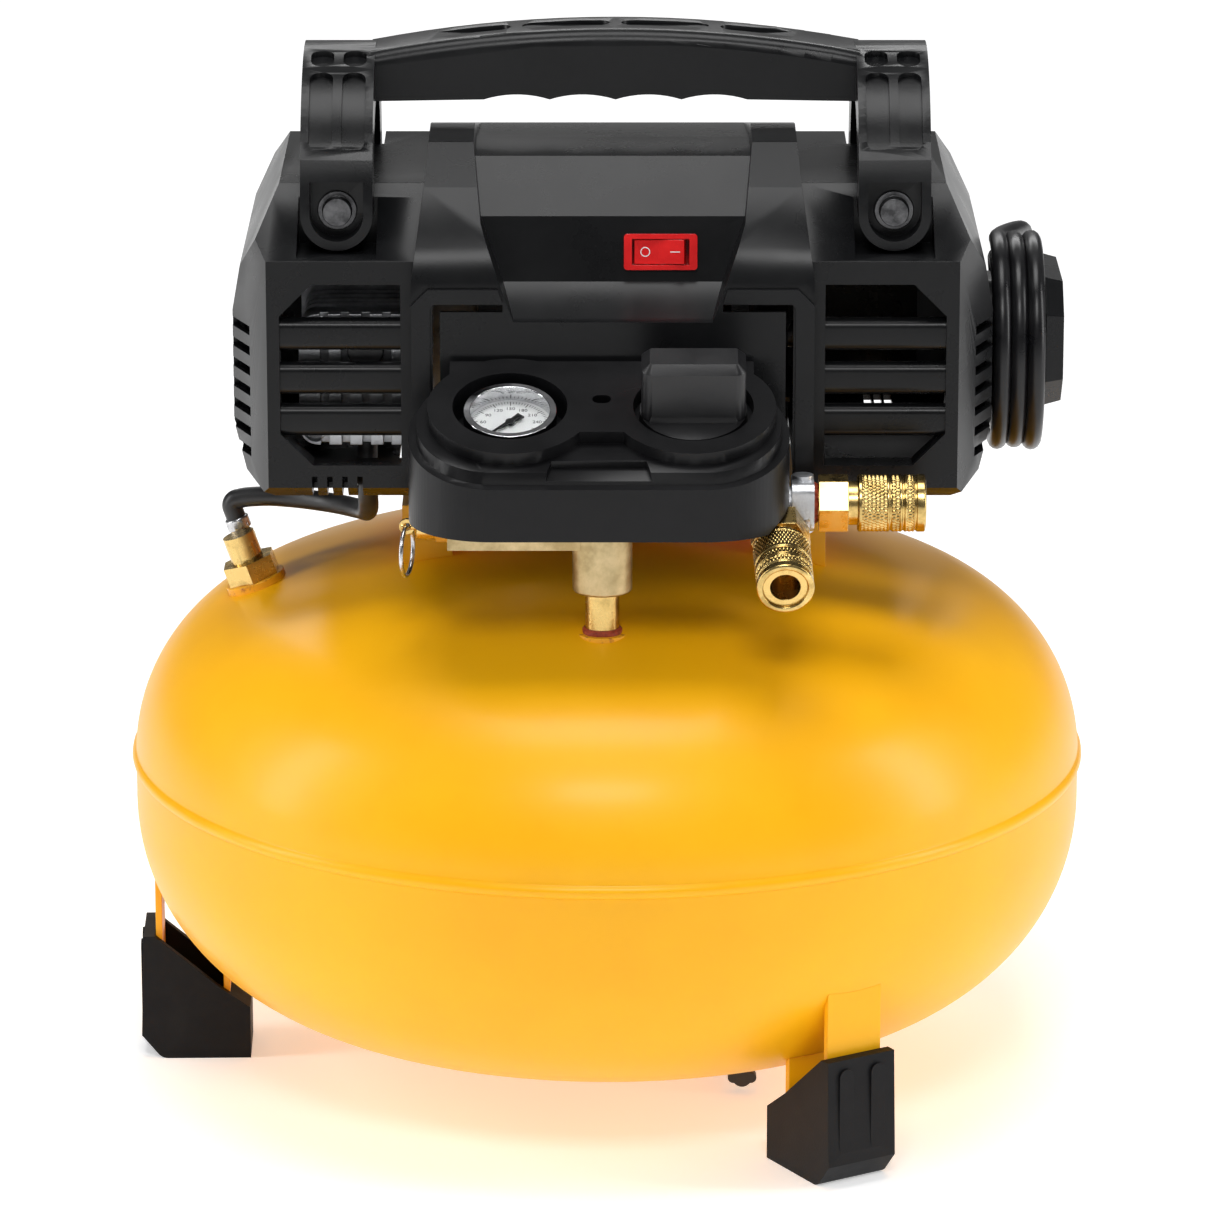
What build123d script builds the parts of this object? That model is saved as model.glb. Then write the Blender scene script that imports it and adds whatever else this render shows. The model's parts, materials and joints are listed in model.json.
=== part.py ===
"""Pancake air compressor: a flat steel tank on three booted feet carries an oil-free pump under a shroud."""
# Millimetres, +Z up. The origin is on the tank's axis at floor level, +X is to the user's right
# and -Y is towards the user, who faces the console.
import math
import os

from build123d import *

os.makedirs("parts", exist_ok=True)

# ---------------------------------------------------------------- driving dimensions
# tank
tank_radius = 210.5
tank_wall = 2.5
seam_height = 142.5
upper_knuckle = 78.0
upper_crown = 463.0
lower_skirt = 20.0
lower_knuckle = 92.0
lower_crown = 446.0
seam_bead = 1.7
seam_bead_half = 3.0

# feet
foot_azimuths = (31.3, -88.7, 151.3)  # front, left and rear foot, measured from -Y towards +X
boot_inner = 161.0
boot_outer = 210.0
boot_width = 34.0
boot_outer_height = 58.0
boot_inner_height = 24.0
boot_rib = 0.9
boot_sole = 8.0
strap_width = 27.0
strap_thickness = 3.0
strap_outer_radius = 203.0
strap_inner_radius = 170.0

# console
console_tilt = 20.5
console_centre = -3.4
console_half_width = 80.6
console_front = -165.0
console_back = -90.3
console_bottom = 282.0
console_corner = 36.0
console_wall = 2.6
lobe_y = -126.0
lobe_z = 331.0
lobe_radius = 35.0
lobe_height = 6.0
mid_tier_height = 5.0
mid_tier_inset = 3.5
gauge_x = -41.0
knob_x = 36.5
gauge_well_radius = 24.3
gauge_well_depth = 15.0
knob_well_radius = 25.5
knob_well_depth = 7.0

# gauge
gauge_radius = 19.8
gauge_depth = 24.0
gauge_top = -2.0
bezel_wall = 1.8
bezel_height = 10.0
dial_below_top = 8.0
needle_length = 13.5

# regulator knob
knob_radius = 23.0
knob_disc = 5.0
knob_bar_length = 44.0
knob_bar_width = 19.0
knob_bar_height = 27.0
knob_bar_bevel = 3.5
knob_bar_corner = 4.5
knob_shaft_radius = 7.0
running_fit = 0.05
turning_gap = 0.4

# air line
outlet_x = -2.0
outlet_y = -115.5
nipple_radius = 7.3
nipple_bore = 4.0
regulator_radius = 12.8
regulator_base = 247.0
manifold_axis_z = 275.3
manifold_square = 17.0
outlet_axis_z = 285.6
coupler_sleeve_radius = 12.25
coupler_bore = 6.4
coupler_hex = 22.0
coupler_hex_start = 2.0
coupler_hex_length = 12.5
coupler_sleeve_length = 29.0
coupler_face = 47.5
side_coupler_x = 88.0
front_coupler_start = (73.0, -125.6, 278.5)
front_coupler_drop = 19.0
front_coupler_yaw = 2.3

# shroud
shroud_centre = 2.5
shroud_half_width = 165.0
shroud_wall = 2.6
shroud_split = -40.0
shroud_split_gap = 0.4
shroud_front = -78.0
shroud_rear = 118.0
shroud_bottom = 276.0
centre_half_width = 86.0
centre_front = -90.0
panel_half_width = 77.0
louvre_height = 14.0
louvre_levels = (349.0, 329.5, 311.0)
grille_inner = 91.0
grille_outer = 143.0
grille_bottom = 292.0
grille_top = 372.0
grille_corner = 14.0

# switch
switch_x = 23.0
switch_width = 31.5
switch_height = 15.5
rocker_width = 24.0
rocker_height = 10.5
rocker_throw = 16.0

# handle
handle_centre = 3.7
handle_leg_offset = 119.5
handle_leg_width = 31.0
handle_leg_front = -57.0
handle_leg_rear = 51.0
handle_leg_depth = 22.0
handle_bolt_z = 400.0
handle_top = 462.0
grip_top = 471.0
grip_low = 443.0
grip_depth = 37.0

# pump and motor
shaft_y = 22.0
shaft_z = 326.0
shaft_radius = 6.0
stroke = 24.0
bore_radius = 23.5
cylinder_x = -104.0
stator_radius = 46.0
rotor_radius = 24.0

# cord
cord_radius = 4.0
coil_centre_y = 15.0
coil_centre_z = 325.0
coil_height = 98.0
coil_depth = 96.0
coil_width = 23.0
coil_layer = 16.5
coil_start_x = 168.5

contact_gap = 0.3


def write(piece, label):
    piece.part.label = label
    export_step(piece.part, f"parts/{label}.step")
    print(label, "solids", len(piece.part.solids()), "volume", round(piece.part.volume))


# ---------------------------------------------------------------- tank
def crown_drop(knuckle, crown):
    """Distance from the head's rim plane down to the centre of its crown arc."""
    return math.sqrt((crown - knuckle) ** 2 - (tank_radius - knuckle) ** 2)


def crown_angle(knuckle, crown):
    """Angle from the tank's axis, in degrees, where the crown arc meets the knuckle arc."""
    return math.degrees(math.asin((tank_radius - knuckle) / (crown - knuckle)))


def head_half(rim, knuckle, crown, inset, way):
    """Half section of a dished head with its surface moved in by inset; way is 1 upwards, -1 down."""
    drop = crown_drop(knuckle, crown)
    angle = crown_angle(knuckle, crown)
    with BuildSketch() as section:
        with BuildLine():
            arc = CenterArc((tank_radius - knuckle, rim), knuckle - inset, 0, way * (90 - angle))
            top = CenterArc((0, rim - way * drop), crown - inset, way * (90 - angle), way * angle)
            Polyline(top @ 1, (0, rim), arc @ 0)
        make_face()
    return section.sketch


def tank_surface_z(radius):
    """Height of the upper head's outside at a distance from the tank's axis."""
    drop = crown_drop(upper_knuckle, upper_crown)
    return seam_height - drop + math.sqrt(upper_crown**2 - radius**2)


# Solid forms of the whole upper and lower heads, used to trim what is welded on to them.
with BuildPart() as upper_form:
    with BuildSketch(Plane.XZ):
        add(head_half(seam_height, upper_knuckle, upper_crown, 0, 1))
    revolve(axis=Axis.Z)

lower_rim = seam_height - lower_skirt
with BuildPart() as lower_form:
    with BuildSketch(Plane.XZ):
        add(head_half(lower_rim, lower_knuckle, lower_crown, 0, -1))
        with Locations((tank_radius / 2, seam_height - lower_skirt / 2)):
            Rectangle(tank_radius, lower_skirt)
    revolve(axis=Axis.Z)

check_normal_angle = 19.7
check_base = (-155.8, 0.0, 217.0)
check_plane = Plane(
    origin=check_base,
    x_dir=(0, 1, 0),
    z_dir=(-math.sin(math.radians(check_normal_angle)), 0, math.cos(math.radians(check_normal_angle))),
)
check_bung_radius = 13.5
outlet_bung_radius = 11.0
drain_x = 60.0
drain_y = -40.0
drain_bung_radius = 9.0
drain_bung_top = 24.0
drain_bung_bottom = 12.0
outlet_plane = Plane(origin=(outlet_x, outlet_y, tank_surface_z(math.hypot(outlet_x, outlet_y))))

with BuildPart() as tank_upper_head:
    with BuildSketch(Plane.XZ):
        add(head_half(seam_height, upper_knuckle, upper_crown, 0, 1))
        add(head_half(seam_height, upper_knuckle, upper_crown, tank_wall, 1), mode=Mode.SUBTRACT)
    revolve(axis=Axis.Z)
    with BuildSketch(check_plane.offset(-15)):
        Circle(check_bung_radius)
    extrude(amount=30, mode=Mode.SUBTRACT)
    with BuildSketch(outlet_plane.offset(-15)):
        Circle(outlet_bung_radius)
    extrude(amount=30, mode=Mode.SUBTRACT)
write(tank_upper_head, "tank_upper_head")

lip_height = 6.0
lip_gap = 0.35
with BuildPart() as tank_lower_head:
    with BuildSketch(Plane.XZ):
        add(head_half(lower_rim, lower_knuckle, lower_crown, 0, -1))
        add(head_half(lower_rim, lower_knuckle, lower_crown, tank_wall, -1), mode=Mode.SUBTRACT)
        with Locations((tank_radius - tank_wall / 2, seam_height - lower_skirt / 2)):
            Rectangle(tank_wall, lower_skirt)
        lip_outer = tank_radius - tank_wall - lip_gap
        with Locations((lip_outer - tank_wall / 2, seam_height)):
            Rectangle(tank_wall, 2 * lip_height)
        with Locations((lip_outer, seam_height - lip_height)):
            Rectangle(2 * lip_gap, 1.0)
    revolve(axis=Axis.Z)
    with BuildSketch(Plane.XZ):
        with BuildLine():
            Line(
                (tank_radius, seam_height + seam_bead_half),
                (tank_radius, seam_height - seam_bead_half),
            )
            ThreePointArc(
                (tank_radius, seam_height - seam_bead_half),
                (tank_radius + seam_bead, seam_height),
                (tank_radius, seam_height + seam_bead_half),
            )
        make_face()
    revolve(axis=Axis.Z)
    with Locations((drain_x, drain_y, drain_bung_bottom)):
        Cylinder(drain_bung_radius, 40, mode=Mode.SUBTRACT)
write(tank_lower_head, "tank_lower_head")

bung_bore = 8.0
drain_bore = 5.5
with BuildPart() as weld_bungs:
    with BuildSketch(check_plane.offset(-12)):
        Circle(check_bung_radius)
        Circle(bung_bore, mode=Mode.SUBTRACT)
    extrude(amount=15)
    with BuildSketch(outlet_plane.offset(-12)):
        Circle(outlet_bung_radius)
        Circle(nipple_radius, mode=Mode.SUBTRACT)
    extrude(amount=11)
    with BuildSketch(Plane.XY.offset(drain_bung_bottom)):
        with Locations((drain_x, drain_y)):
            Circle(drain_bung_radius)
            Circle(drain_bore, mode=Mode.SUBTRACT)
    extrude(amount=drain_bung_top - drain_bung_bottom)
write(weld_bungs, "weld_bungs")


# ---------------------------------------------------------------- feet
def foot_plane(azimuth):
    """Upright plane through the tank's axis: local x outwards, local y up, normal along the width."""
    way = math.radians(azimuth)
    outwards = (math.sin(way), -math.cos(way), 0)
    return Plane(origin=(0, 0, 0), x_dir=outwards, z_dir=(-math.cos(way), -math.sin(way), 0))


strap_top = 100.0
strap_seat = boot_sole
strap_bend = 7.0
straps = []
boots = []
for azimuth in foot_azimuths:
    upright = foot_plane(azimuth)
    with BuildPart() as leg_strap:
        with BuildSketch(upright):
            with BuildLine():
                FilletPolyline(
                    (strap_inner_radius, strap_top),
                    (strap_inner_radius, strap_seat),
                    (strap_outer_radius, strap_seat),
                    (strap_outer_radius, strap_top),
                    radius=strap_bend,
                )
                Line((strap_outer_radius, strap_top), (strap_outer_radius - strap_thickness, strap_top))
                FilletPolyline(
                    (strap_outer_radius - strap_thickness, strap_top),
                    (strap_outer_radius - strap_thickness, strap_seat + strap_thickness),
                    (strap_inner_radius + strap_thickness, strap_seat + strap_thickness),
                    (strap_inner_radius + strap_thickness, strap_top),
                    radius=strap_bend - strap_thickness,
                )
                Line((strap_inner_radius + strap_thickness, strap_top), (strap_inner_radius, strap_top))
            make_face()
        extrude(amount=strap_width / 2, both=True)
        add(lower_form.part, mode=Mode.SUBTRACT)
        add(upper_form.part, mode=Mode.SUBTRACT)
    straps.append(leg_strap.part)

    with BuildPart() as foot_boot:
        with BuildSketch(upright):
            with BuildLine():
                Polyline(
                    (boot_inner, 0),
                    (boot_outer - 9, 0),
                    (boot_outer, 11),
                    (boot_outer - 1.5, boot_outer_height),
                    (boot_outer - 6.5, boot_outer_height),
                    (boot_inner + 14, boot_inner_height + 10),
                    (boot_inner, boot_inner_height),
                    close=True,
                )
            make_face()
        extrude(amount=boot_width / 2, both=True)
        low_edges = foot_boot.edges().filter_by(Axis((0, 0, 0), upright.z_dir)).sort_by(Axis.Z)[:2]
        fillet(low_edges.sort_by(Axis((0, 0, 0), upright.x_dir))[-1:], 6)
        with BuildSketch(upright):
            with BuildLine():
                Polyline(
                    (strap_inner_radius, boot_outer_height + 5),
                    (strap_inner_radius, strap_seat),
                    (strap_outer_radius, strap_seat),
                    (strap_outer_radius, boot_outer_height + 5),
                    close=True,
                )
            make_face()
        extrude(amount=strap_width / 2, both=True, mode=Mode.SUBTRACT)
        rib_centre = Vector(0, 0, boot_outer_height / 2 + 6)
        rib_plane = Plane(
            origin=upright.x_dir * (boot_outer - 1.0) + rib_centre,
            x_dir=upright.z_dir,
            z_dir=upright.x_dir,
        )
        with BuildSketch(rib_plane):
            with Locations((-8, 0), (8, 0)):
                SlotOverall(boot_outer_height - 20, 7, rotation=90)
        extrude(amount=boot_rib)
    boots.append(foot_boot.part)

with BuildPart() as leg_straps:
    for strap in straps:
        add(strap)
write(leg_straps, "leg_straps")

with BuildPart() as foot_boots:
    for boot in boots:
        add(boot)
write(foot_boots, "foot_boots")

# ---------------------------------------------------------------- saddle that carries the pump
deck_z = 258.0
deck_thickness = 3.0
saddle_left = -90.0
saddle_right = 96.0
saddle_front = -30.0
saddle_back = 76.0
saddle_leg = 22.0
saddle_plate = 3.0
with BuildPart() as pump_saddle:
    with BuildSketch(Plane.XY.offset(deck_z)):
        with Locations(((saddle_left + saddle_right) / 2, (saddle_front + saddle_back) / 2)):
            Rectangle(saddle_right - saddle_left, saddle_back - saddle_front)
            Rectangle(80, 52, mode=Mode.SUBTRACT)
    extrude(amount=deck_thickness)
    for x, inward in ((saddle_left, 1), (saddle_right, -1)):
        for y, face in ((saddle_front, 1), (saddle_back, -1)):
            with BuildSketch(Plane.XY.offset(deck_z)):
                with Locations((x + inward * saddle_leg / 2, y + face * saddle_plate / 2)):
                    Rectangle(saddle_leg, saddle_plate)
                with Locations((x + inward * (saddle_leg - saddle_plate / 2), y + face * saddle_leg / 2)):
                    Rectangle(saddle_plate, saddle_leg)
            extrude(amount=-50)
    add(upper_form.part, mode=Mode.SUBTRACT)
write(pump_saddle, "pump_saddle")

# ---------------------------------------------------------------- check valve and pump hose
valve_hex = 22.0
valve_flange = 3.0
valve_hex_height = 9.0
valve_body_radius = 7.2
valve_height = 24.0
valve_port_height = 17.7
valve_port_back = 13.0
valve_elbow_radius = 5.0
valve_elbow_end = 4.4
valve_barb_radius = 3.8
valve_barb_end = 23.0
hose_radius = 4.4
crimp_radius = 5.4
crimp_length = 5.5
with BuildPart() as check_valve:
    with BuildSketch(check_plane.offset(-10)):
        Circle(bung_bore)
    extrude(amount=10 + valve_flange)
    with BuildSketch(check_plane.offset(valve_flange)):
        RegularPolygon(valve_hex / 2, 6, major_radius=False)
    extrude(amount=valve_hex_height)
    with BuildSketch(check_plane.offset(valve_flange + valve_hex_height)):
        Circle(valve_body_radius)
    extrude(amount=valve_height - valve_flange - valve_hex_height)
    elbow_start = check_plane.origin + check_plane.z_dir * valve_port_height
    elbow_end = elbow_start + check_plane.x_dir * valve_port_back
    with BuildSketch(Plane(origin=elbow_start, x_dir=check_plane.z_dir, z_dir=check_plane.x_dir)):
        Circle(valve_elbow_radius)
    extrude(amount=valve_port_back + valve_elbow_end)
    with BuildSketch(Plane(origin=elbow_end, x_dir=check_plane.x_dir, z_dir=check_plane.z_dir)):
        Circle(valve_barb_radius)
    extrude(amount=valve_barb_end - valve_port_height)
write(check_valve, "check_valve")

crimp_plane = Plane(
    origin=elbow_end + check_plane.z_dir * (valve_barb_end - valve_port_height),
    x_dir=check_plane.x_dir,
    z_dir=check_plane.z_dir,
)
with BuildPart() as hose_crimp:
    with BuildSketch(crimp_plane):
        Circle(crimp_radius)
    extrude(amount=crimp_length)
    fillet(hose_crimp.edges().filter_by(GeomType.CIRCLE), 0.8)
write(hose_crimp, "hose_crimp")

hose_start = crimp_plane.origin + crimp_plane.z_dir * crimp_length
cylinder_head_front = -62.0
cylinder_head_depth = 14.0
head_port_y = cylinder_head_front + cylinder_head_depth / 2
head_half_height = 29.0
head_port_z = shaft_z - head_half_height
hose_points = [
    hose_start,
    hose_start + crimp_plane.z_dir * 8,
    (-161.0, 11.5, 253.5),
    (-150.0, 8.0, 255.0),
    (-136.0, 2.0, 255.5),
    (-120.0, -10.0, 256.5),
    (-108.0, -27.0, 258.5),
    (cylinder_x, -44.0, 262.0),
    (cylinder_x, head_port_y, 274.0),
    (cylinder_x, head_port_y, head_port_z),
]


def smooth_radii(points):
    """Arc radius for each corner: 0.45 of its shorter run over the tangent of half its turn."""
    points = [Vector(*p) if isinstance(p, tuple) else p for p in points]
    radii = []
    for before, corner, after in zip(points, points[1:], points[2:]):
        first = corner - before
        second = after - corner
        half_turn = math.radians(first.get_angle(second)) / 2
        radii.append(0.45 * min(first.length, second.length) / math.tan(half_turn))
    return radii


hose_bends = smooth_radii(hose_points)
print("hose radii", [round(r, 1) for r in hose_bends])
with BuildPart() as pump_hose:
    with BuildLine() as hose_path:
        FilletPolyline(*hose_points, radius=hose_bends)
    with BuildSketch(Plane(origin=hose_path.line @ 0, z_dir=hose_path.line % 0)):
        Circle(hose_radius)
    sweep(path=hose_path.line)
write(pump_hose, "pump_hose")

# ---------------------------------------------------------------- outlet nipple, regulator and manifold
nipple_base = outlet_plane.origin.Z
manifold_left = -68.0
manifold_right = 62.0
with BuildPart() as outlet_nipple:
    with BuildSketch(outlet_plane.offset(-10)):
        Circle(nipple_radius)
        Circle(nipple_bore, mode=Mode.SUBTRACT)
    extrude(amount=regulator_base + 10 - nipple_base)
write(outlet_nipple, "outlet_nipple")

sealant_height = 2.4
with BuildPart() as thread_sealant:
    with BuildSketch(outlet_plane.offset(-1)):
        Circle(nipple_radius + 1.3)
        Circle(nipple_radius, mode=Mode.SUBTRACT)
    extrude(amount=sealant_height)
    add(upper_form.part, mode=Mode.SUBTRACT)
    sealant_top = thread_sealant.faces().sort_by(Axis.Z)[-1]
    chamfer(sealant_top.edges().sort_by(SortBy.LENGTH)[-1], 0.8)
write(thread_sealant, "thread_sealant")

manifold_half = manifold_square / 2
regulator_top = 306.0
console_plane = Plane(
    origin=(0, lobe_y, lobe_z),
    x_dir=(1, 0, 0),
    z_dir=(0, -math.sin(math.radians(console_tilt)), math.cos(math.radians(console_tilt))),
)
bonnet_radius = 13.5
bonnet_depth = 25.0
tier_drop = lobe_height + mid_tier_height
bonnet_top = tier_drop + console_wall + contact_gap
knob_point = console_plane.from_local_coords(Vector(knob_x, 0, 0))
with BuildPart() as manifold:
    with BuildSketch(Plane.XY.offset(regulator_base)):
        with Locations((outlet_x, outlet_y)):
            Circle(regulator_radius)
    extrude(amount=regulator_top - regulator_base)
    with BuildSketch(Plane.YZ.offset(manifold_left)):
        with Locations((outlet_y, manifold_axis_z)):
            Rectangle(manifold_square, manifold_square)
    extrude(amount=outlet_x - manifold_left)
    with BuildSketch(Plane.YZ.offset(outlet_x)):
        with Locations((outlet_y, outlet_axis_z)):
            Circle(manifold_half)
    extrude(amount=manifold_right - outlet_x)
    fillet(manifold.edges().group_by(Axis.Z)[0], 1.2)
write(manifold, "manifold")

with BuildPart() as regulator_bonnet:
    with BuildSketch(console_plane.offset(-bonnet_top)):
        with Locations((knob_x, 0)):
            Circle(bonnet_radius)
    extrude(amount=-bonnet_depth)
    with BuildSketch(console_plane.offset(-bonnet_top)):
        with Locations((knob_x, 0)):
            Circle(knob_shaft_radius + running_fit)
    extrude(amount=-bonnet_depth + 4, mode=Mode.SUBTRACT)
    add(manifold.part, mode=Mode.SUBTRACT)
write(regulator_bonnet, "regulator_bonnet")

tee_block_start = 78.5
tee_size = 21.0
tee_neck = 7.0
with BuildPart() as outlet_tee:
    with BuildSketch(Plane.YZ.offset(manifold_right)):
        with Locations((outlet_y, outlet_axis_z)):
            Circle(tee_neck)
    extrude(amount=tee_block_start - manifold_right)
    with BuildSketch(Plane.YZ.offset(tee_block_start)):
        with Locations((outlet_y, outlet_axis_z)):
            RectangleRounded(tee_size, tee_size, 4)
    extrude(amount=side_coupler_x - tee_block_start)
    with BuildSketch(Plane.XY.offset(outlet_axis_z - tee_size / 2 - 2)):
        with Locations(((tee_block_start + side_coupler_x) / 2, outlet_y)):
            Circle(4.5)
    extrude(amount=tee_size + 4)


# ---------------------------------------------------------------- quick couplers
def coupler_frame(start, drop, yaw):
    """Plane at a coupler's port face, its normal along the coupler towards the open end."""
    dip = math.radians(drop)
    turn = math.radians(yaw)
    way = Vector(math.sin(turn) * math.cos(dip), -math.cos(turn) * math.cos(dip), -math.sin(dip))
    return Plane(origin=start, x_dir=(math.cos(turn), math.sin(turn), 0), z_dir=way)


side_plane = Plane(origin=(side_coupler_x, outlet_y, outlet_axis_z), x_dir=(0, 1, 0), z_dir=(1, 0, 0))
front_plane = coupler_frame(front_coupler_start, front_coupler_drop, front_coupler_yaw)
hex_end = coupler_hex_start + coupler_hex_length
sleeve_start = coupler_face - coupler_sleeve_length
barrel_radius = 9.4
collar_radius = 7.6
with outlet_tee:
    with BuildSketch(front_plane):
        Circle(tee_neck + 1)
    extrude(amount=-13)
    with BuildSketch(front_plane):
        Circle(coupler_hex / math.sqrt(3) + 0.7)
    extrude(amount=coupler_face, mode=Mode.SUBTRACT)
write(outlet_tee, "outlet_tee")

groove_width = 1.0
groove_depth = 0.5
groove_backs = (15.2, 10.0, 4.0)
for side, port in (("side", side_plane), ("front", front_plane)):
    with BuildPart() as coupler_body:
        with BuildSketch(port):
            Circle(collar_radius)
        extrude(amount=coupler_hex_start)
        with BuildSketch(port.offset(coupler_hex_start)):
            RegularPolygon(coupler_hex / 2, 6, major_radius=False)
        extrude(amount=coupler_hex_length)
        with BuildSketch(port.offset(hex_end)):
            Circle(barrel_radius)
        extrude(amount=coupler_face - 1.5 - hex_end)
        with BuildSketch(port.offset(hex_end)):
            Circle(coupler_bore)
        extrude(amount=coupler_face - 1.5 - hex_end, mode=Mode.SUBTRACT)
        with BuildSketch(port):
            Circle(2.6)
        extrude(amount=hex_end, mode=Mode.SUBTRACT)
    write(coupler_body, f"coupler_body_{side}")

    with BuildPart() as coupler_sleeve:
        with BuildSketch(port.offset(sleeve_start)):
            Circle(coupler_sleeve_radius)
            Circle(barrel_radius + running_fit, mode=Mode.SUBTRACT)
        extrude(amount=coupler_sleeve_length)
        for back in groove_backs:
            with BuildSketch(port.offset(sleeve_start + coupler_sleeve_length - back)):
                Circle(coupler_sleeve_radius + 1)
                Circle(coupler_sleeve_radius - groove_depth, mode=Mode.SUBTRACT)
            extrude(amount=groove_width, mode=Mode.SUBTRACT)
    write(coupler_sleeve, f"coupler_sleeve_{side}")

# ---------------------------------------------------------------- relief valve with its pull ring
relief_hex = 12.0
relief_start = manifold_left
relief_barrel = 5.6
relief_length = 13.0
pull_radius = 1.6
pull_length = 6.5
ring_radius = 10.8
ring_wire = 0.9
ring_x = relief_start - relief_length - pull_length + 2.2
ring_angle = 12.0
with BuildPart() as relief_valve_body:
    with BuildSketch(Plane.YZ.offset(relief_start)):
        with Locations((outlet_y, manifold_axis_z)):
            RegularPolygon(relief_hex / 2, 6, major_radius=False)
    extrude(amount=-5)
    with BuildSketch(Plane.YZ.offset(relief_start - 5)):
        with Locations((outlet_y, manifold_axis_z)):
            Circle(relief_barrel)
    extrude(amount=-(relief_length - 5))
    with BuildSketch(Plane.YZ.offset(relief_start - relief_length)):
        with Locations((outlet_y, manifold_axis_z)):
            Circle(pull_radius + running_fit)
    extrude(amount=8, mode=Mode.SUBTRACT)
write(relief_valve_body, "relief_valve_body")

eye_radius = 3.3
eye_thickness = 2.0
ring_slack = 0.9
with BuildPart() as relief_pull:
    with BuildSketch(Plane.YZ.offset(relief_start - relief_length + 6)):
        with Locations((outlet_y, manifold_axis_z)):
            Circle(pull_radius)
    extrude(amount=-(6 + pull_length))
    with BuildSketch(Plane.XZ.offset(-outlet_y - eye_thickness / 2)):
        with Locations((ring_x, manifold_axis_z)):
            Circle(eye_radius)
    extrude(amount=eye_thickness)
    with BuildSketch(Plane.XZ.offset(-outlet_y - eye_thickness / 2)):
        with Locations((ring_x, manifold_axis_z)):
            Circle(ring_wire + ring_slack)
    extrude(amount=2 * pull_radius, both=True, mode=Mode.SUBTRACT)
write(relief_pull, "relief_pull")

split_gap = 3.0
with BuildPart() as relief_ring:
    centre = (ring_x, outlet_y, manifold_axis_z - ring_radius)
    ring_facing = Plane(
        origin=centre,
        x_dir=(math.sin(math.radians(ring_angle)), math.cos(math.radians(ring_angle)), 0),
        z_dir=(-math.cos(math.radians(ring_angle)), math.sin(math.radians(ring_angle)), 0),
    )
    with BuildLine() as ring_line:
        ThreePointArc(
            ring_facing.from_local_coords(Vector(-split_gap / 2, -ring_radius, 0)),
            ring_facing.from_local_coords(Vector(0, ring_radius, 0)),
            ring_facing.from_local_coords(Vector(split_gap / 2, -ring_radius, 0)),
        )
    with BuildSketch(Plane(origin=ring_line.line @ 0, z_dir=ring_line.line % 0)):
        Circle(ring_wire)
    sweep(path=ring_line.line)
write(relief_ring, "relief_ring")

# ---------------------------------------------------------------- drain cock under the tank
drain_axis_z = 7.5
drain_elbow_bottom = 2.6
drain_barrel_radius = 4.3
drain_barrel_end = -62.0
drain_stem_radius = 2.0
drain_knob_half = 6.4
drain_knob_thickness = 2.6
with BuildPart() as drain_cock:
    with BuildSketch(Plane.XY.offset(drain_elbow_bottom)):
        with Locations((drain_x, drain_y)):
            Circle(drain_bore)
    extrude(amount=drain_bung_top - 4 - drain_elbow_bottom)
    with BuildSketch(Plane.XZ.offset(-drain_y)):
        with Locations((drain_x, drain_axis_z)):
            Circle(drain_barrel_radius)
    extrude(amount=drain_y - drain_barrel_end)
    with BuildSketch(Plane.XZ.offset(-drain_barrel_end)):
        with Locations((drain_x, drain_axis_z)):
            Circle(drain_stem_radius + running_fit)
    extrude(amount=-12, mode=Mode.SUBTRACT)
write(drain_cock, "drain_cock")

with BuildPart() as drain_wing:
    with BuildSketch(Plane.XZ.offset(-drain_barrel_end - 10)):
        with Locations((drain_x, drain_axis_z)):
            Circle(drain_stem_radius)
    extrude(amount=10 + contact_gap + 1)
    with BuildSketch(Plane.XZ.offset(-drain_barrel_end + contact_gap)):
        with Locations((drain_x, drain_axis_z)):
            Circle(drain_barrel_radius)
            SlotOverall(2 * drain_knob_half, 5)
    extrude(amount=2 * drain_knob_thickness)
write(drain_wing, "drain_wing")

# ---------------------------------------------------------------- console
console_mid_y = (console_front + console_back) / 2
console_depth = console_back - console_front
through_depth = tier_drop + 2 * console_wall
coupler_clearance = 1.4
with BuildPart() as console_cavity:
    with BuildSketch(Plane.XY.offset(console_bottom)):
        with Locations((console_centre, console_mid_y)):
            RectangleRounded(
                2 * (console_half_width - console_wall),
                console_depth - 2 * console_wall,
                console_corner - console_wall,
            )
    extrude(amount=90)
    split(bisect_by=console_plane.offset(-tier_drop - console_wall), keep=Keep.BOTTOM)
    with BuildSketch(console_plane):
        with Locations((gauge_x, 0)):
            Circle(gauge_well_radius + console_wall)
    extrude(amount=-gauge_well_depth - console_wall, mode=Mode.SUBTRACT)
    with BuildSketch(console_plane):
        with Locations((knob_x, 0)):
            Circle(knob_well_radius + console_wall)
    extrude(amount=-knob_well_depth - console_wall, mode=Mode.SUBTRACT)

with BuildPart() as console_housing:
    with BuildSketch(Plane.XY.offset(console_bottom)):
        with Locations((console_centre, console_mid_y)):
            RectangleRounded(2 * console_half_width, console_depth, console_corner)
    extrude(amount=90)
    split(bisect_by=console_plane.offset(-tier_drop), keep=Keep.BOTTOM)

with BuildPart() as console_mid_tier:
    with BuildSketch(Plane.XY.offset(console_bottom)):
        with Locations((console_centre, console_mid_y)):
            RectangleRounded(
                2 * (console_half_width - mid_tier_inset),
                console_depth - 2 * mid_tier_inset,
                console_corner - mid_tier_inset,
            )
    extrude(amount=90)
    split(bisect_by=console_plane.offset(-lobe_height), keep=Keep.BOTTOM)

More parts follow.
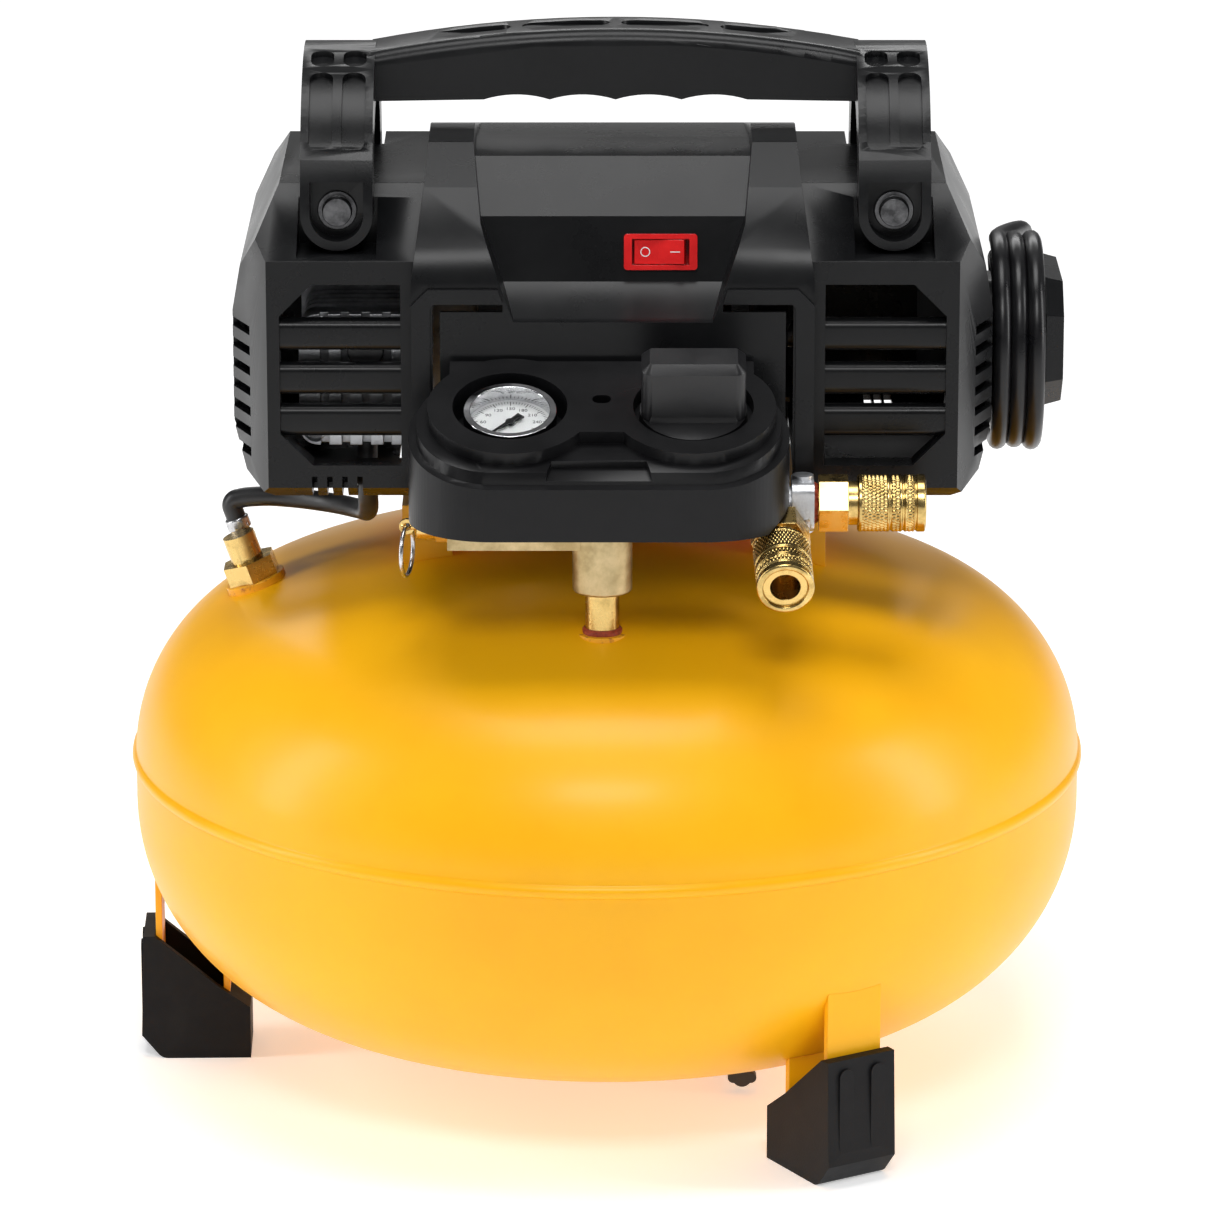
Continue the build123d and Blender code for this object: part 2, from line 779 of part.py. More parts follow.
valley_half = 24.0
recess_depth = 3.5
with console_housing:
    add(console_mid_tier.part)
    with BuildSketch(console_plane):
        with Locations((gauge_x, 0), (knob_x, 0)):
            Circle(lobe_radius)
        with Locations(((gauge_x + knob_x) / 2, 5)):
            Rectangle(knob_x - gauge_x, 2 * valley_half)
        with Locations(((gauge_x + knob_x) / 2, 16)):
            Rectangle(knob_x - gauge_x + 52, 34)
    extrude(amount=-lobe_height - 1)
    add(console_cavity.part, mode=Mode.SUBTRACT)
    with BuildSketch(console_plane):
        with Locations((gauge_x, 0)):
            Circle(gauge_well_radius)
    extrude(amount=-gauge_well_depth, mode=Mode.SUBTRACT)
    with BuildSketch(console_plane):
        with Locations((gauge_x, 0)):
            Circle(gauge_radius + contact_gap)
    extrude(amount=-gauge_well_depth - through_depth, mode=Mode.SUBTRACT)
    with BuildSketch(console_plane):
        with Locations((knob_x, 0)):
            Circle(knob_well_radius)
    extrude(amount=-knob_well_depth, mode=Mode.SUBTRACT)
    with BuildSketch(console_plane):
        with Locations((knob_x, 0)):
            Circle(knob_shaft_radius + turning_gap)
    extrude(amount=-through_depth, mode=Mode.SUBTRACT)
    with BuildSketch(console_plane):
        with Locations(((gauge_x + knob_x) / 2, 5)):
            SlotOverall(8, 6)
    extrude(amount=-through_depth, mode=Mode.SUBTRACT)
    with BuildSketch(console_plane.offset(-lobe_height)):
        with BuildLine():
            Polyline(
                (console_centre - 24, -50),
                (console_centre - 20, -32),
                (console_centre + 20, -32),
                (console_centre + 24, -50),
                close=True,
            )
        make_face()
    extrude(amount=-recess_depth, mode=Mode.SUBTRACT)
    with BuildSketch(Plane.YZ.offset(40)):
        with Locations((outlet_y, outlet_axis_z)):
            Circle(tee_neck + coupler_clearance)
        with Locations((outlet_y, outlet_axis_z - 10)):
            Rectangle(2 * (tee_neck + coupler_clearance), 20)
    extrude(amount=60, mode=Mode.SUBTRACT)
    with BuildSketch(Plane.YZ.offset(tee_block_start - contact_gap)):
        with Locations((outlet_y, outlet_axis_z)):
            Rectangle(tee_size + 2, tee_size + 6)
    extrude(amount=20, mode=Mode.SUBTRACT)
    with BuildSketch(front_plane.offset(-20)):
        Circle(coupler_sleeve_radius + coupler_clearance)
    extrude(amount=20 + coupler_face, mode=Mode.SUBTRACT)
write(console_housing, "console_housing")

# ---------------------------------------------------------------- pressure gauge
glass_thickness = 1.6
dial_thickness = 0.8
stem_radius = 5.0
needle_centre_lift = 1.2
pivot_radius = 0.9
gauge_inner = gauge_radius - bezel_wall
case_top = gauge_top - bezel_height
dial_top = gauge_top - dial_below_top
with BuildPart() as gauge_case:
    with BuildSketch(console_plane.offset(case_top)):
        with Locations((gauge_x, 0)):
            Circle(gauge_radius)
    extrude(amount=-(gauge_depth - bezel_height))
    with BuildSketch(console_plane.offset(gauge_top - gauge_depth)):
        with Locations((gauge_x, 0)):
            Circle(stem_radius)
    extrude(amount=-26)
    with BuildSketch(console_plane.offset(case_top)):
        with Locations((gauge_x, 0)):
            Circle(gauge_inner - 1)
    extrude(amount=-8, mode=Mode.SUBTRACT)
    add(manifold.part, mode=Mode.SUBTRACT)
case_solids = gauge_case.part.solids().sort_by(SortBy.VOLUME)
with BuildPart() as gauge_case:
    add(case_solids[-1])
write(gauge_case, "gauge_case")

with BuildPart() as gauge_bezel:
    with BuildSketch(console_plane.offset(case_top)):
        with Locations((gauge_x, 0)):
            Circle(gauge_radius)
            Circle(gauge_inner, mode=Mode.SUBTRACT)
    extrude(amount=bezel_height)
    with BuildSketch(console_plane.offset(gauge_top)):
        with Locations((gauge_x, 0)):
            Circle(gauge_radius)
            Circle(gauge_inner - 1.2, mode=Mode.SUBTRACT)
    extrude(amount=-1.0)
write(gauge_bezel, "gauge_bezel")

with BuildPart() as gauge_dial:
    with BuildSketch(console_plane.offset(dial_top)):
        with Locations((gauge_x, 0)):
            Circle(gauge_inner)
            Circle(pivot_radius + running_fit, mode=Mode.SUBTRACT)
    extrude(amount=-dial_thickness)
write(gauge_dial, "gauge_dial")

with BuildPart() as gauge_lens:
    with BuildSketch(console_plane.offset(gauge_top - 1.0)):
        with Locations((gauge_x, 0)):
            Circle(gauge_inner)
    extrude(amount=-glass_thickness)
write(gauge_lens, "gauge_lens")

needle_angle = 225.0
needle_thickness = 0.7
tail_length = 6.5
with BuildPart() as gauge_needle:
    with BuildSketch(console_plane.offset(dial_top + needle_centre_lift)):
        with Locations(Location((gauge_x, 0), needle_angle)):
            Polygon(
                (-tail_length, -1.9),
                (-tail_length, 1.9),
                (0, 1.0),
                (needle_length, 0.15),
                (needle_length, -0.15),
                (0, -1.0),
                align=None,
            )
        with Locations((gauge_x, 0)):
            Circle(2.0)
    extrude(amount=needle_thickness)
    with BuildSketch(console_plane.offset(dial_top + needle_centre_lift)):
        with Locations((gauge_x, 0)):
            Circle(pivot_radius)
    extrude(amount=-needle_centre_lift - dial_thickness - 3)
write(gauge_needle, "gauge_needle")

# ---------------------------------------------------------------- regulator knob
with BuildPart() as regulator_knob:
    knob_seat = -knob_well_depth + turning_gap
    with BuildSketch(console_plane.offset(knob_seat)):
        with Locations((knob_x, 0)):
            Circle(knob_radius)
    extrude(amount=knob_disc, taper=4)
    with BuildSketch(console_plane.offset(knob_seat + knob_disc)):
        with Locations((knob_x, 0)):
            Circle(knob_radius - 2)
            with Locations((0, 23), (0, -23)):
                Rectangle(60, 25, mode=Mode.SUBTRACT)
    extrude(amount=4.0, taper=20)
    with BuildSketch(console_plane.offset(knob_seat + knob_disc)):
        with Locations((knob_x, 0)):
            RectangleRounded(knob_bar_length, knob_bar_width, knob_bar_corner)
    extrude(amount=knob_bar_height)
    bar_top = regulator_knob.faces().sort_by(Axis(knob_point, console_plane.z_dir))[-1]
    chamfer(bar_top.edges(), knob_bar_bevel)
    with BuildSketch(console_plane.offset(knob_seat)):
        with Locations((knob_x, 0)):
            Circle(knob_shaft_radius)
    extrude(amount=-(bonnet_top + 8 - knob_well_depth))
write(regulator_knob, "regulator_knob")

# ---------------------------------------------------------------- shroud
side_shoulder = 408.0
hump_top = 426.0
plateau = 420.0
side_profile = [
    (shroud_front, 282),
    (shroud_front, 382),
    (-46, 403),
    (shroud_split, side_shoulder),
    (66, side_shoulder),
    (106, 388),
    (shroud_rear, 358),
    (shroud_rear, 286),
    (100, shroud_bottom),
    (-68, shroud_bottom),
]
front_half_outline = [
    (146, shroud_bottom),
    (159, 284),
    (shroud_half_width, 302),
    (shroud_half_width, 352),
    (161, 374),
    (151, 394),
    (140, 416),
]
plan_half_outline = [
    (148, shroud_front - 1),
    (shroud_half_width, -40),
    (shroud_half_width, 84),
    (140, shroud_rear + 1),
]
hump_profile = [
    (centre_front, shroud_bottom),
    (centre_front, 376),
    (-84, 390),
    (-62, 411),
    (shroud_split, hump_top),
    (-6, hump_top + 1),
    (66, 412),
    (108, 390),
    (shroud_rear + 3, 352),
    (shroud_rear + 3, 285),
    (104, shroud_bottom),
]
middle_profile = [
    (-120, 355),
    (-84, 359),
    (-68, 371),
    (-62.5, 398.5),
    (shroud_split, plateau),
    (-6, plateau + 1),
    (60, 413),
    (130, 404),
    (130, 460),
    (-120, 460),
]
hump_half_outline = [
    (centre_half_width, shroud_bottom - 5),
    (centre_half_width, 376),
    (81, 411),
    (78, 440),
]
valley_half_outline = [(42, 340), (42, 357), (56.5, 398), (60, 426), (60, 460)]


def both_sides(half):
    """Closed outline from its right half, mirrored in the upright axis."""
    return half + [(-x, y) for x, y in reversed(half)]


def shroud_form(inset):
    """The shroud's outside moved in by inset, as one solid block."""
    with BuildPart() as block:
        with BuildSketch(Plane.YZ.offset(shroud_centre)):
            Polygon(*side_profile, align=None)
            if inset:
                offset(amount=-inset)
        extrude(amount=shroud_half_width + 10, both=True)
        with BuildSketch(Plane.XZ.shift_origin((shroud_centre, 0, 0))):
            Polygon(*both_sides(front_half_outline), align=None)
            if inset:
                offset(amount=-inset)
        extrude(amount=200, both=True, mode=Mode.INTERSECT)
        with BuildSketch(Plane.XY.shift_origin((shroud_centre, 0, 0))):
            Polygon(*both_sides(plan_half_outline), align=None)
            if inset:
                offset(amount=-inset)
        extrude(amount=600, mode=Mode.INTERSECT)
    with BuildPart() as middle:
        with BuildSketch(Plane.YZ.offset(shroud_centre)):
            Polygon(*hump_profile, align=None)
            if inset:
                offset(amount=-inset)
        extrude(amount=centre_half_width + 10, both=True)
        with BuildSketch(Plane.XZ.shift_origin((shroud_centre, 0, 0))):
            Polygon(*both_sides(hump_half_outline), align=None)
            if inset:
                offset(amount=-inset)
        extrude(amount=200, both=True, mode=Mode.INTERSECT)
    with BuildPart() as valley:
        with BuildSketch(Plane.YZ.offset(shroud_centre)):
            Polygon(*middle_profile, align=None)
            if inset:
                offset(amount=inset, kind=Kind.INTERSECTION)
        extrude(amount=centre_half_width + 10, both=True)
        with BuildSketch(Plane.XZ.shift_origin((shroud_centre, 0, 0))):
            Polygon(*both_sides(valley_half_outline), align=None)
            if inset:
                offset(amount=inset, kind=Kind.INTERSECTION)
        extrude(amount=200, both=True, mode=Mode.INTERSECT)
    with BuildPart() as whole:
        add(middle.part)
        add(block.part)
        add(valley.part, mode=Mode.SUBTRACT)
    return whole.part


shroud_outside = shroud_form(0)
shroud_inside = shroud_form(shroud_wall)

# Pockets that the handle's four feet stand in, with a wall behind each for its bolt.
foot_bottom = handle_bolt_z - handle_leg_width / 2
pocket_margin = 1.6
pocket_half = handle_leg_width / 2 + pocket_margin
pocket_floor = foot_bottom - pocket_margin
boss_wall = 4.0
leg_sides = [handle_centre - handle_leg_offset, handle_centre + handle_leg_offset]
front_pocket_wall = handle_leg_front + handle_leg_depth / 2 + contact_gap
rear_pocket_wall = handle_leg_rear - handle_leg_depth / 2 - contact_gap


def pocket_blocks(grow):
    """The four pockets as blocks, grown by a wall on each hidden side."""
    with BuildPart() as blocks:
        for x in leg_sides:
            for wall_y, way in ((front_pocket_wall, -1), (rear_pocket_wall, 1)):
                back = wall_y - way * (boss_wall if grow else 0)
                far = wall_y + way * 60
                with BuildSketch(Plane.XY.offset(pocket_floor - grow)):
                    with Locations((x, (back + far) / 2)):
                        Rectangle(2 * (pocket_half + grow), abs(far - back))
                extrude(amount=60)
    return blocks.part


bottom_opening_front = -66.0
bottom_opening_back = 92.0
bottom_opening_left = -91.5
bottom_opening_right = 81.5
hose_clearance = 3.0
bolt_radius = 3.0
bolt_clearance = 0.25
with BuildPart() as shroud_shell:
    add(shroud_outside)
    add(shroud_inside, mode=Mode.SUBTRACT)
    with BuildSketch(Plane.XY.offset(shroud_bottom - 5)):
        opening_x = (bottom_opening_left + bottom_opening_right) / 2
        opening_y = (bottom_opening_front + bottom_opening_back) / 2
        with Locations((opening_x, opening_y)):
            Rectangle(
                bottom_opening_right - bottom_opening_left,
                bottom_opening_back - bottom_opening_front,
            )
        with Locations((cylinder_x, head_port_y)):
            Circle(hose_radius + hose_clearance)
    extrude(amount=12, mode=Mode.SUBTRACT)
with BuildPart() as pocket_walls:
    add(pocket_blocks(shroud_wall))
    add(shroud_outside, mode=Mode.INTERSECT)
with shroud_shell:
    add(pocket_walls.part)
    add(pocket_blocks(0), mode=Mode.SUBTRACT)
    for x in leg_sides:
        with BuildSketch(Plane.XZ.offset(-100)):
            with Locations((x, handle_bolt_z)):
                Circle(bolt_radius + bolt_clearance)
        extrude(amount=200, mode=Mode.SUBTRACT)



def grille_outline(grow):
    """Opening with two cut corners on its outer side, for the right hand grille."""
    inner = grille_inner - grow
    outer = grille_outer + grow
    low = grille_bottom - grow
    high = grille_top + grow
    corner = grille_corner
    return [
        (inner, low),
        (outer - corner, low),
        (outer, low + corner),
        (outer, high - corner),
        (outer - corner, high),
        (inner, high),
    ]


collar_depth = 13.0
collar_wall = 2.4
louvre_depth = 9.0
louvre_set_back = 2.0
with BuildPart() as grille_collars:
    for way in (1, -1):
        with BuildSketch(Plane.XZ.shift_origin((shroud_centre, 0, 0)).offset(-shroud_front - collar_depth)):
            Polygon(*[(way * x, z) for x, z in grille_outline(collar_wall)], align=None)
            Polygon(*[(way * x, z) for x, z in grille_outline(0)], align=None, mode=Mode.SUBTRACT)
        extrude(amount=collar_depth)
        louvre_y = shroud_front + louvre_set_back + louvre_depth / 2
        louvre_mid = (grille_inner + grille_outer) / 2
        louvre_plane = Plane.YZ.offset(shroud_centre + way * louvre_mid)
        with BuildSketch(louvre_plane):
            for level in louvre_levels:
                with Locations((louvre_y, level)):
                    RectangleRounded(louvre_depth, louvre_height, 4)
        extrude(amount=(grille_outer - grille_inner) / 2 + 1.2, both=True)
    add(shroud_outside, mode=Mode.INTERSECT)

vent_pitch = 9.0
vent_height = 4.0
vent_count = 7
first_vent_z = 293.0
bottom_slot_pitch = 6.5
bottom_slot_x = 109.0
window_pitch = 4.6
window_x = 116.0
window_y = 84.0
rear_vent_pitch = 12.0
rear_vent_count = 9
rear_vent_z = 341.0
rear_vent_height = 22.0
rim_height = 2.4
slot_width = 3.2
slot_top = 366.0
slot_inner = 47.0
with shroud_shell:
    for way in (1, -1):
        with BuildSketch(Plane.XZ.shift_origin((shroud_centre, 0, 0)).offset(-shroud_front - 20)):
            Polygon(*[(way * x, z) for x, z in grille_outline(0)], align=None)
        extrude(amount=40, mode=Mode.SUBTRACT)
        for i in range(vent_count):
            vent_z = first_vent_z + i * vent_pitch
            with Locations((shroud_centre + way * 162, -48, vent_z)):
                Box(14, 22, vent_height, mode=Mode.SUBTRACT)
            with Locations((shroud_centre + way * 162, 64, vent_z)):
                Box(14, 34, vent_height, mode=Mode.SUBTRACT)
        for i in range(4):
            slot_x = shroud_centre + way * (bottom_slot_x + i * bottom_slot_pitch)
            with Locations((slot_x, -68, shroud_bottom + 5)):
                Box(2.4, 24, 12, mode=Mode.SUBTRACT)
        for i in range(3):
            window_middle = shroud_centre + way * (window_x + i * window_pitch)
            with Locations((window_middle, window_y, shroud_bottom)):
                Box(3.4, 26, 8, mode=Mode.SUBTRACT)
        for i in range(rear_vent_count):
            rear_vent_x = shroud_centre + way * (40 + i * rear_vent_pitch)
            with Locations((rear_vent_x, shroud_rear, rear_vent_z)):
                Box(5, 20, rear_vent_height, mode=Mode.SUBTRACT)
        slot_x = shroud_centre + way * (panel_half_width - slot_width / 2)
        slot_low = shroud_bottom + 4
        with Locations((slot_x, centre_front, (slot_top + slot_low) / 2)):
            Box(slot_width, 16, slot_top - slot_low, mode=Mode.SUBTRACT)
        slot_x = shroud_centre + way * (panel_half_width + slot_inner) / 2
        with Locations((slot_x, centre_front, slot_top - slot_width / 2)):
            Box(panel_half_width - slot_inner, 16, slot_width, mode=Mode.SUBTRACT)
    add(grille_collars.part)
    for way in (1, -1):
        rim = [
            (centre_half_width, shroud_bottom + 2),
            (centre_half_width, slot_top),
            (centre_half_width - 7, slot_top + 7),
            (slot_inner + 2, slot_top + 7),
            (slot_inner, slot_top + 1),
            (panel_half_width - 1, slot_top + 1),
            (panel_half_width + 1, slot_top - 1),
            (panel_half_width + 1, shroud_bottom + 2),
        ]
        with BuildSketch(Plane.XZ.shift_origin((shroud_centre, 0, 0)).offset(-centre_front - 0.5)):
            Polygon(*[(way * x, z) for x, z in rim], align=None)
        extrude(amount=rim_height + 0.5)

# rocker opening on the sloping switch face
switch_lean = math.degrees(math.atan2(5.5, 27.5))
switch_z = 383.5
switch_y = -68 + (switch_z - 371) * 5.5 / 27.5
switch_plane = Plane(
    origin=(switch_x, switch_y, switch_z),
    x_dir=(1, 0, 0),
    z_dir=(0, -math.cos(math.radians(switch_lean)), math.sin(math.radians(switch_lean))),
)
switch_body_depth = 14.0
with shroud_shell:
    with BuildSketch(switch_plane.offset(-switch_body_depth)):
        Rectangle(switch_width - 4, switch_height - 3)
    extrude(amount=switch_body_depth + 4, mode=Mode.SUBTRACT)

with BuildPart() as shroud_front_shell:
    add(shroud_shell.part)
    split(bisect_by=Plane.XZ.offset(-shroud_split), keep=Keep.TOP)
with BuildPart() as shroud_rear_shell:
    add(shroud_shell.part)
    split(bisect_by=Plane.XZ.offset(-shroud_split - shroud_split_gap), keep=Keep.BOTTOM)
write(shroud_front_shell, "shroud_front")
write(shroud_rear_shell, "shroud_rear")

# ---------------------------------------------------------------- power switch
bezel_rim = 1.6
rocker_pivot_depth = 3.0
pivot_pin = 1.2
with BuildPart() as switch_bezel:
    with BuildSketch(switch_plane):
        RectangleRounded(switch_width, switch_height, 1.5)
    extrude(amount=bezel_rim)
    with BuildSketch(switch_plane):
        Rectangle(switch_width - 4.4, switch_height - 3.4)
    extrude(amount=-switch_body_depth)
    with BuildSketch(switch_plane.offset(bezel_rim)):
        Rectangle(rocker_width + 2 * contact_gap, rocker_height + 2 * contact_gap)
    extrude(amount=-switch_body_depth + 1, mode=Mode.SUBTRACT)
    hole_plane = Plane(
        origin=switch_plane.origin - switch_plane.z_dir * rocker_pivot_depth,
        x_dir=switch_plane.x_dir,
        z_dir=switch_plane.y_dir,
    )
    with BuildSketch(hole_plane.offset(-switch_height / 2 + 1)):
        Circle(pivot_pin + running_fit)
    extrude(amount=switch_height - 2, mode=Mode.SUBTRACT)
write(switch_bezel, "switch_bezel")

rocker_rest_tilt = rocker_throw / 2
rocker_reach = rocker_width / 2 - 1.2
rocker_crest = 4.6
with BuildPart() as rocker:
    with BuildSketch(hole_plane.offset(-rocker_height / 2)):
        with Locations(Location((0, 0), -rocker_rest_tilt)):
            Polygon(
                (-rocker_reach, -rocker_crest),
                (0, -rocker_crest + 0.8),
                (rocker_reach, -rocker_crest),
                (rocker_reach, 1.5),
                (3, 6),
                (-3, 6),
                (-rocker_reach, 1.5),
                align=None,
            )
    extrude(amount=rocker_height)
    with BuildSketch(hole_plane.offset(-rocker_height / 2 - 0.9)):
        Circle(pivot_pin)
    extrude(amount=rocker_height + 1.8)
write(rocker, "rocker")

# ---------------------------------------------------------------- handle
leg_front_face = handle_leg_front - handle_leg_depth / 2
leg_rear_face = handle_leg_rear + handle_leg_depth / 2
arch_mid = (handle_leg_front + handle_leg_rear) / 2
arch_radius = (leg_rear_face - leg_front_face) / 2
arch_inner_radius = arch_radius - handle_leg_depth
arch_centre_z = handle_top - arch_radius
arch_spring_z = side_shoulder + 1.5
arch_clear_top = handle_top - handle_leg_depth
leg_slot_width = 10.0
leg_slot_offset = 7.0
leg_slot_depth = 2.6
leg_slot_spans = ((27, 63), (67, 79))
wedge_reach = 3 * arch_radius
leg_pocket_depth = 11.0
leg_pocket_radius = 11.5
leg_pocket_top = 414.0
with BuildPart() as handle_ends:
    for x in leg_sides:
        with BuildSketch(Plane.YZ.offset(x)):
            with Locations((arch_mid, arch_centre_z)):
                Circle(arch_radius)
            with Locations((arch_mid, (arch_centre_z + foot_bottom) / 2)):
                Rectangle(2 * arch_radius, arch_centre_z - foot_bottom)
            with Locations((arch_mid, arch_spring_z)):
                Ellipse(arch_inner_radius, arch_clear_top - arch_spring_z, mode=Mode.SUBTRACT)
            with Locations((arch_mid, arch_spring_z - arch_radius)):
                Rectangle(2 * arch_inner_radius, 2 * arch_radius, mode=Mode.SUBTRACT)
        extrude(amount=handle_leg_width / 2, both=True)

with BuildPart() as leg_recesses:
    for x in leg_sides:
        for side in (-1, 1):
            with BuildSketch(Plane.YZ.offset(x + side * leg_slot_offset)):
                with Locations((arch_mid, arch_centre_z)):
                    for way in (-1, 1):
                        for span in leg_slot_spans:
                            low, high = [math.radians(angle) for angle in span]
                            near = (way * wedge_reach * math.cos(low), wedge_reach * math.sin(low))
                            far = (way * wedge_reach * math.cos(high), wedge_reach * math.sin(high))
                            Polygon((0, 0), near, far, align=None)
                with Locations((arch_mid, arch_centre_z)):
                    Circle(arch_radius + 2, mode=Mode.INTERSECT)
                    Circle(arch_radius - leg_slot_depth, mode=Mode.SUBTRACT)
            extrude(amount=leg_slot_width / 2, both=True)
    recess_ends = leg_recesses.edges().filter_by(GeomType.LINE)
    fillet(recess_ends - recess_ends.filter_by(Axis.X), leg_slot_width / 2 - 0.6)

with BuildPart() as leg_outline:
    with BuildSketch(Plane.XZ.offset(-leg_rear_face - 5)):
        for x in leg_sides:
            with Locations((x, handle_bolt_z)):
                Circle(handle_leg_width / 2)
            with Locations((x, (handle_bolt_z + handle_top) / 2)):
                Rectangle(handle_leg_width, handle_top - handle_bolt_z)
    extrude(amount=leg_rear_face - leg_front_face + 10)

cusp_pitch = 28.5
cusp_depth = 2.2
cusp_count = 5
grip_half = handle_leg_offset - handle_leg_width / 2 + 2
grip_end_top = 461.0
grip_end_low = 440.0
grip_mid_y = arch_mid
cusps = [handle_centre + (i - (cusp_count - 1) / 2) * cusp_pitch for i in range(cusp_count)]
with BuildPart() as grip:
    with BuildSketch(Plane.XZ.offset(-grip_mid_y - grip_depth / 2)):
        with BuildLine():
            left = handle_centre - grip_half
            right = handle_centre + grip_half
            cusp_z = grip_low - cusp_depth
            ThreePointArc((left, grip_end_top), (handle_centre, grip_top), (right, grip_end_top))
            Polyline((right, grip_end_top), (right, grip_end_low), (cusps[-1], cusp_z))
            for near, far in zip(cusps[::-1], cusps[-2::-1]):
                ThreePointArc((near, cusp_z), ((near + far) / 2, grip_low), (far, cusp_z))
            Polyline((cusps[0], cusp_z), (left, grip_end_low), (left, grip_end_top))
        make_face()
    extrude(amount=grip_depth)
    top_edges = grip.edges().filter_by(GeomType.CIRCLE).filter_by(lambda e: e.center().Z > (grip_low + 8))
    fillet(top_edges, 6)

top_pocket_length = 38.0
top_pocket_gap = 5.0
top_pocket_width = 11.0
top_pocket_depth = 1.6
grip_bow = grip_top - grip_end_top
with BuildPart() as handle:
    add(handle_ends.part)
    add(leg_outline.part, mode=Mode.INTERSECT)
    add(leg_recesses.part, mode=Mode.SUBTRACT)
    add(grip.part)
    for i in range(4):
        x = handle_centre + (i - 1.5) * (top_pocket_length + top_pocket_gap)
        level = grip_top - grip_bow * ((x - handle_centre) / grip_half) ** 2
        with BuildSketch(Plane.XY.offset(level - top_pocket_depth)):
            with Locations((x, grip_mid_y)):
                SlotOverall(top_pocket_length, top_pocket_width)
        extrude(amount=10, mode=Mode.SUBTRACT)
    for x in leg_sides:
        for face_y, way in ((leg_front_face, 1), (leg_rear_face, -1)):
            face = Plane.XZ.offset(-face_y)
            with BuildSketch(face):
                with Locations((x, handle_bolt_z)):
                    Circle(leg_pocket_radius)
                with Locations((x, (handle_bolt_z + leg_pocket_top) / 2)):
                    Rectangle(2 * leg_pocket_radius, leg_pocket_top - handle_bolt_z)
            extrude(amount=-way * leg_pocket_depth, mode=Mode.SUBTRACT)
            with BuildSketch(face):
                with Locations((x, handle_bolt_z)):
                    Circle(bolt_radius + bolt_clearance)
            extrude(amount=-way * (handle_leg_depth + 2), mode=Mode.SUBTRACT)
write(handle, "handle")

bolt_head_radius = 6.2
bolt_head_height = 4.5
washer_radius = 8.5
washer_height = 1.2
with BuildPart() as handle_bolts:
    for x in leg_sides:
        for face_y, way in ((leg_front_face, 1), (leg_rear_face, -1)):
            seat = Plane.XZ.offset(-face_y - way * leg_pocket_depth)
            with BuildSketch(seat):
                with Locations((x, handle_bolt_z)):
                    Circle(washer_radius)
            extrude(amount=way * washer_height)
            with BuildSketch(seat):
                with Locations((x, handle_bolt_z)):
                    Circle(bolt_head_radius)
            extrude(amount=way * (washer_height + bolt_head_height))
            with BuildSketch(seat):
                with Locations((x, handle_bolt_z)):
                    Circle(bolt_radius)
            extrude(amount=-way * (handle_leg_depth - leg_pocket_depth + boss_wall))
write(handle_bolts, "handle_bolts")

# ---------------------------------------------------------------- pump
shaft_plane = Plane.YZ.shift_origin((0, shaft_y, shaft_z))
crankcase_left = -134.0
crankcase_right = -58.0
crankcase_wall = 5.0
crankcase_half = 38.0
crankcase_front = -8.0
crankcase_rear = 62.0
bearing_radius = 15.0
bearing_width = 9.0
right_bearing_x = 46.0
foot_height = 7.0
foot_radius = 8.0
deck_top = deck_z + deck_thickness
cylinder_rear = crankcase_front
valve_plate_thickness = 3.0
cylinder_front = cylinder_head_front + cylinder_head_depth + valve_plate_thickness
fin_size = 56.0
fin_count = 5
with BuildPart() as crankcase:
    middle_x = (crankcase_left + crankcase_right) / 2
    middle_y = (crankcase_front + crankcase_rear) / 2
    with Locations((middle_x, middle_y, shaft_z)):
        Box(crankcase_right - crankcase_left, crankcase_rear - crankcase_front, 2 * crankcase_half)
        with Locations((0, crankcase_wall, 0)):
            Box(
                crankcase_right - crankcase_left - 2 * crankcase_wall,
                crankcase_rear - crankcase_front,
                2 * (crankcase_half - crankcase_wall),
                mode=Mode.SUBTRACT,
            )
    with BuildSketch(Plane.XZ.offset(-crankcase_front)):
        with Locations((cylinder_x, shaft_z)):
            Circle(bore_radius)
    extrude(amount=-crankcase_wall - 1, mode=Mode.SUBTRACT)
    with BuildSketch(shaft_plane.offset(crankcase_right)):
        Circle(bearing_radius + 5)
    extrude(amount=-bearing_width - 1)
    with BuildSketch(shaft_plane.offset(crankcase_right)):
        Circle(bearing_radius)
    extrude(amount=-bearing_width - 1, mode=Mode.SUBTRACT)
    for y in (2, 52):
        with BuildSketch(Plane.XY.offset(deck_top + foot_height)):
            with Locations((-74, y)):
                Rectangle(26, 16)
        extrude(amount=shaft_z - crankcase_half - deck_top - foot_height)
write(crankcase, "crankcase")

with BuildPart() as cylinder:
    with BuildSketch(Plane.XZ.offset(-cylinder_rear)):
        with Locations((cylinder_x, shaft_z)):
            Circle(bore_radius + 3)
    extrude(amount=cylinder_rear - cylinder_front)
    for i in range(fin_count):
        with BuildSketch(Plane.XZ.offset(-cylinder_front - 2 - i * 7.5)):
            with Locations((cylinder_x, shaft_z)):
                RectangleRounded(fin_size, fin_size, 6)
        extrude(amount=2)
    with BuildSketch(Plane.XZ.offset(-cylinder_rear - 1)):
        with Locations((cylinder_x, shaft_z)):
            Circle(bore_radius)
    extrude(amount=cylinder_rear - cylinder_front + 5, mode=Mode.SUBTRACT)
write(cylinder, "cylinder")

with BuildPart() as valve_plate:
    with BuildSketch(Plane.XZ.offset(-cylinder_front)):
        with Locations((cylinder_x, shaft_z)):
            RectangleRounded(fin_size, fin_size, 6)
            with Locations((-9, 0), (9, 0)):
                Circle(3, mode=Mode.SUBTRACT)
    extrude(amount=valve_plate_thickness)
write(valve_plate, "valve_plate")

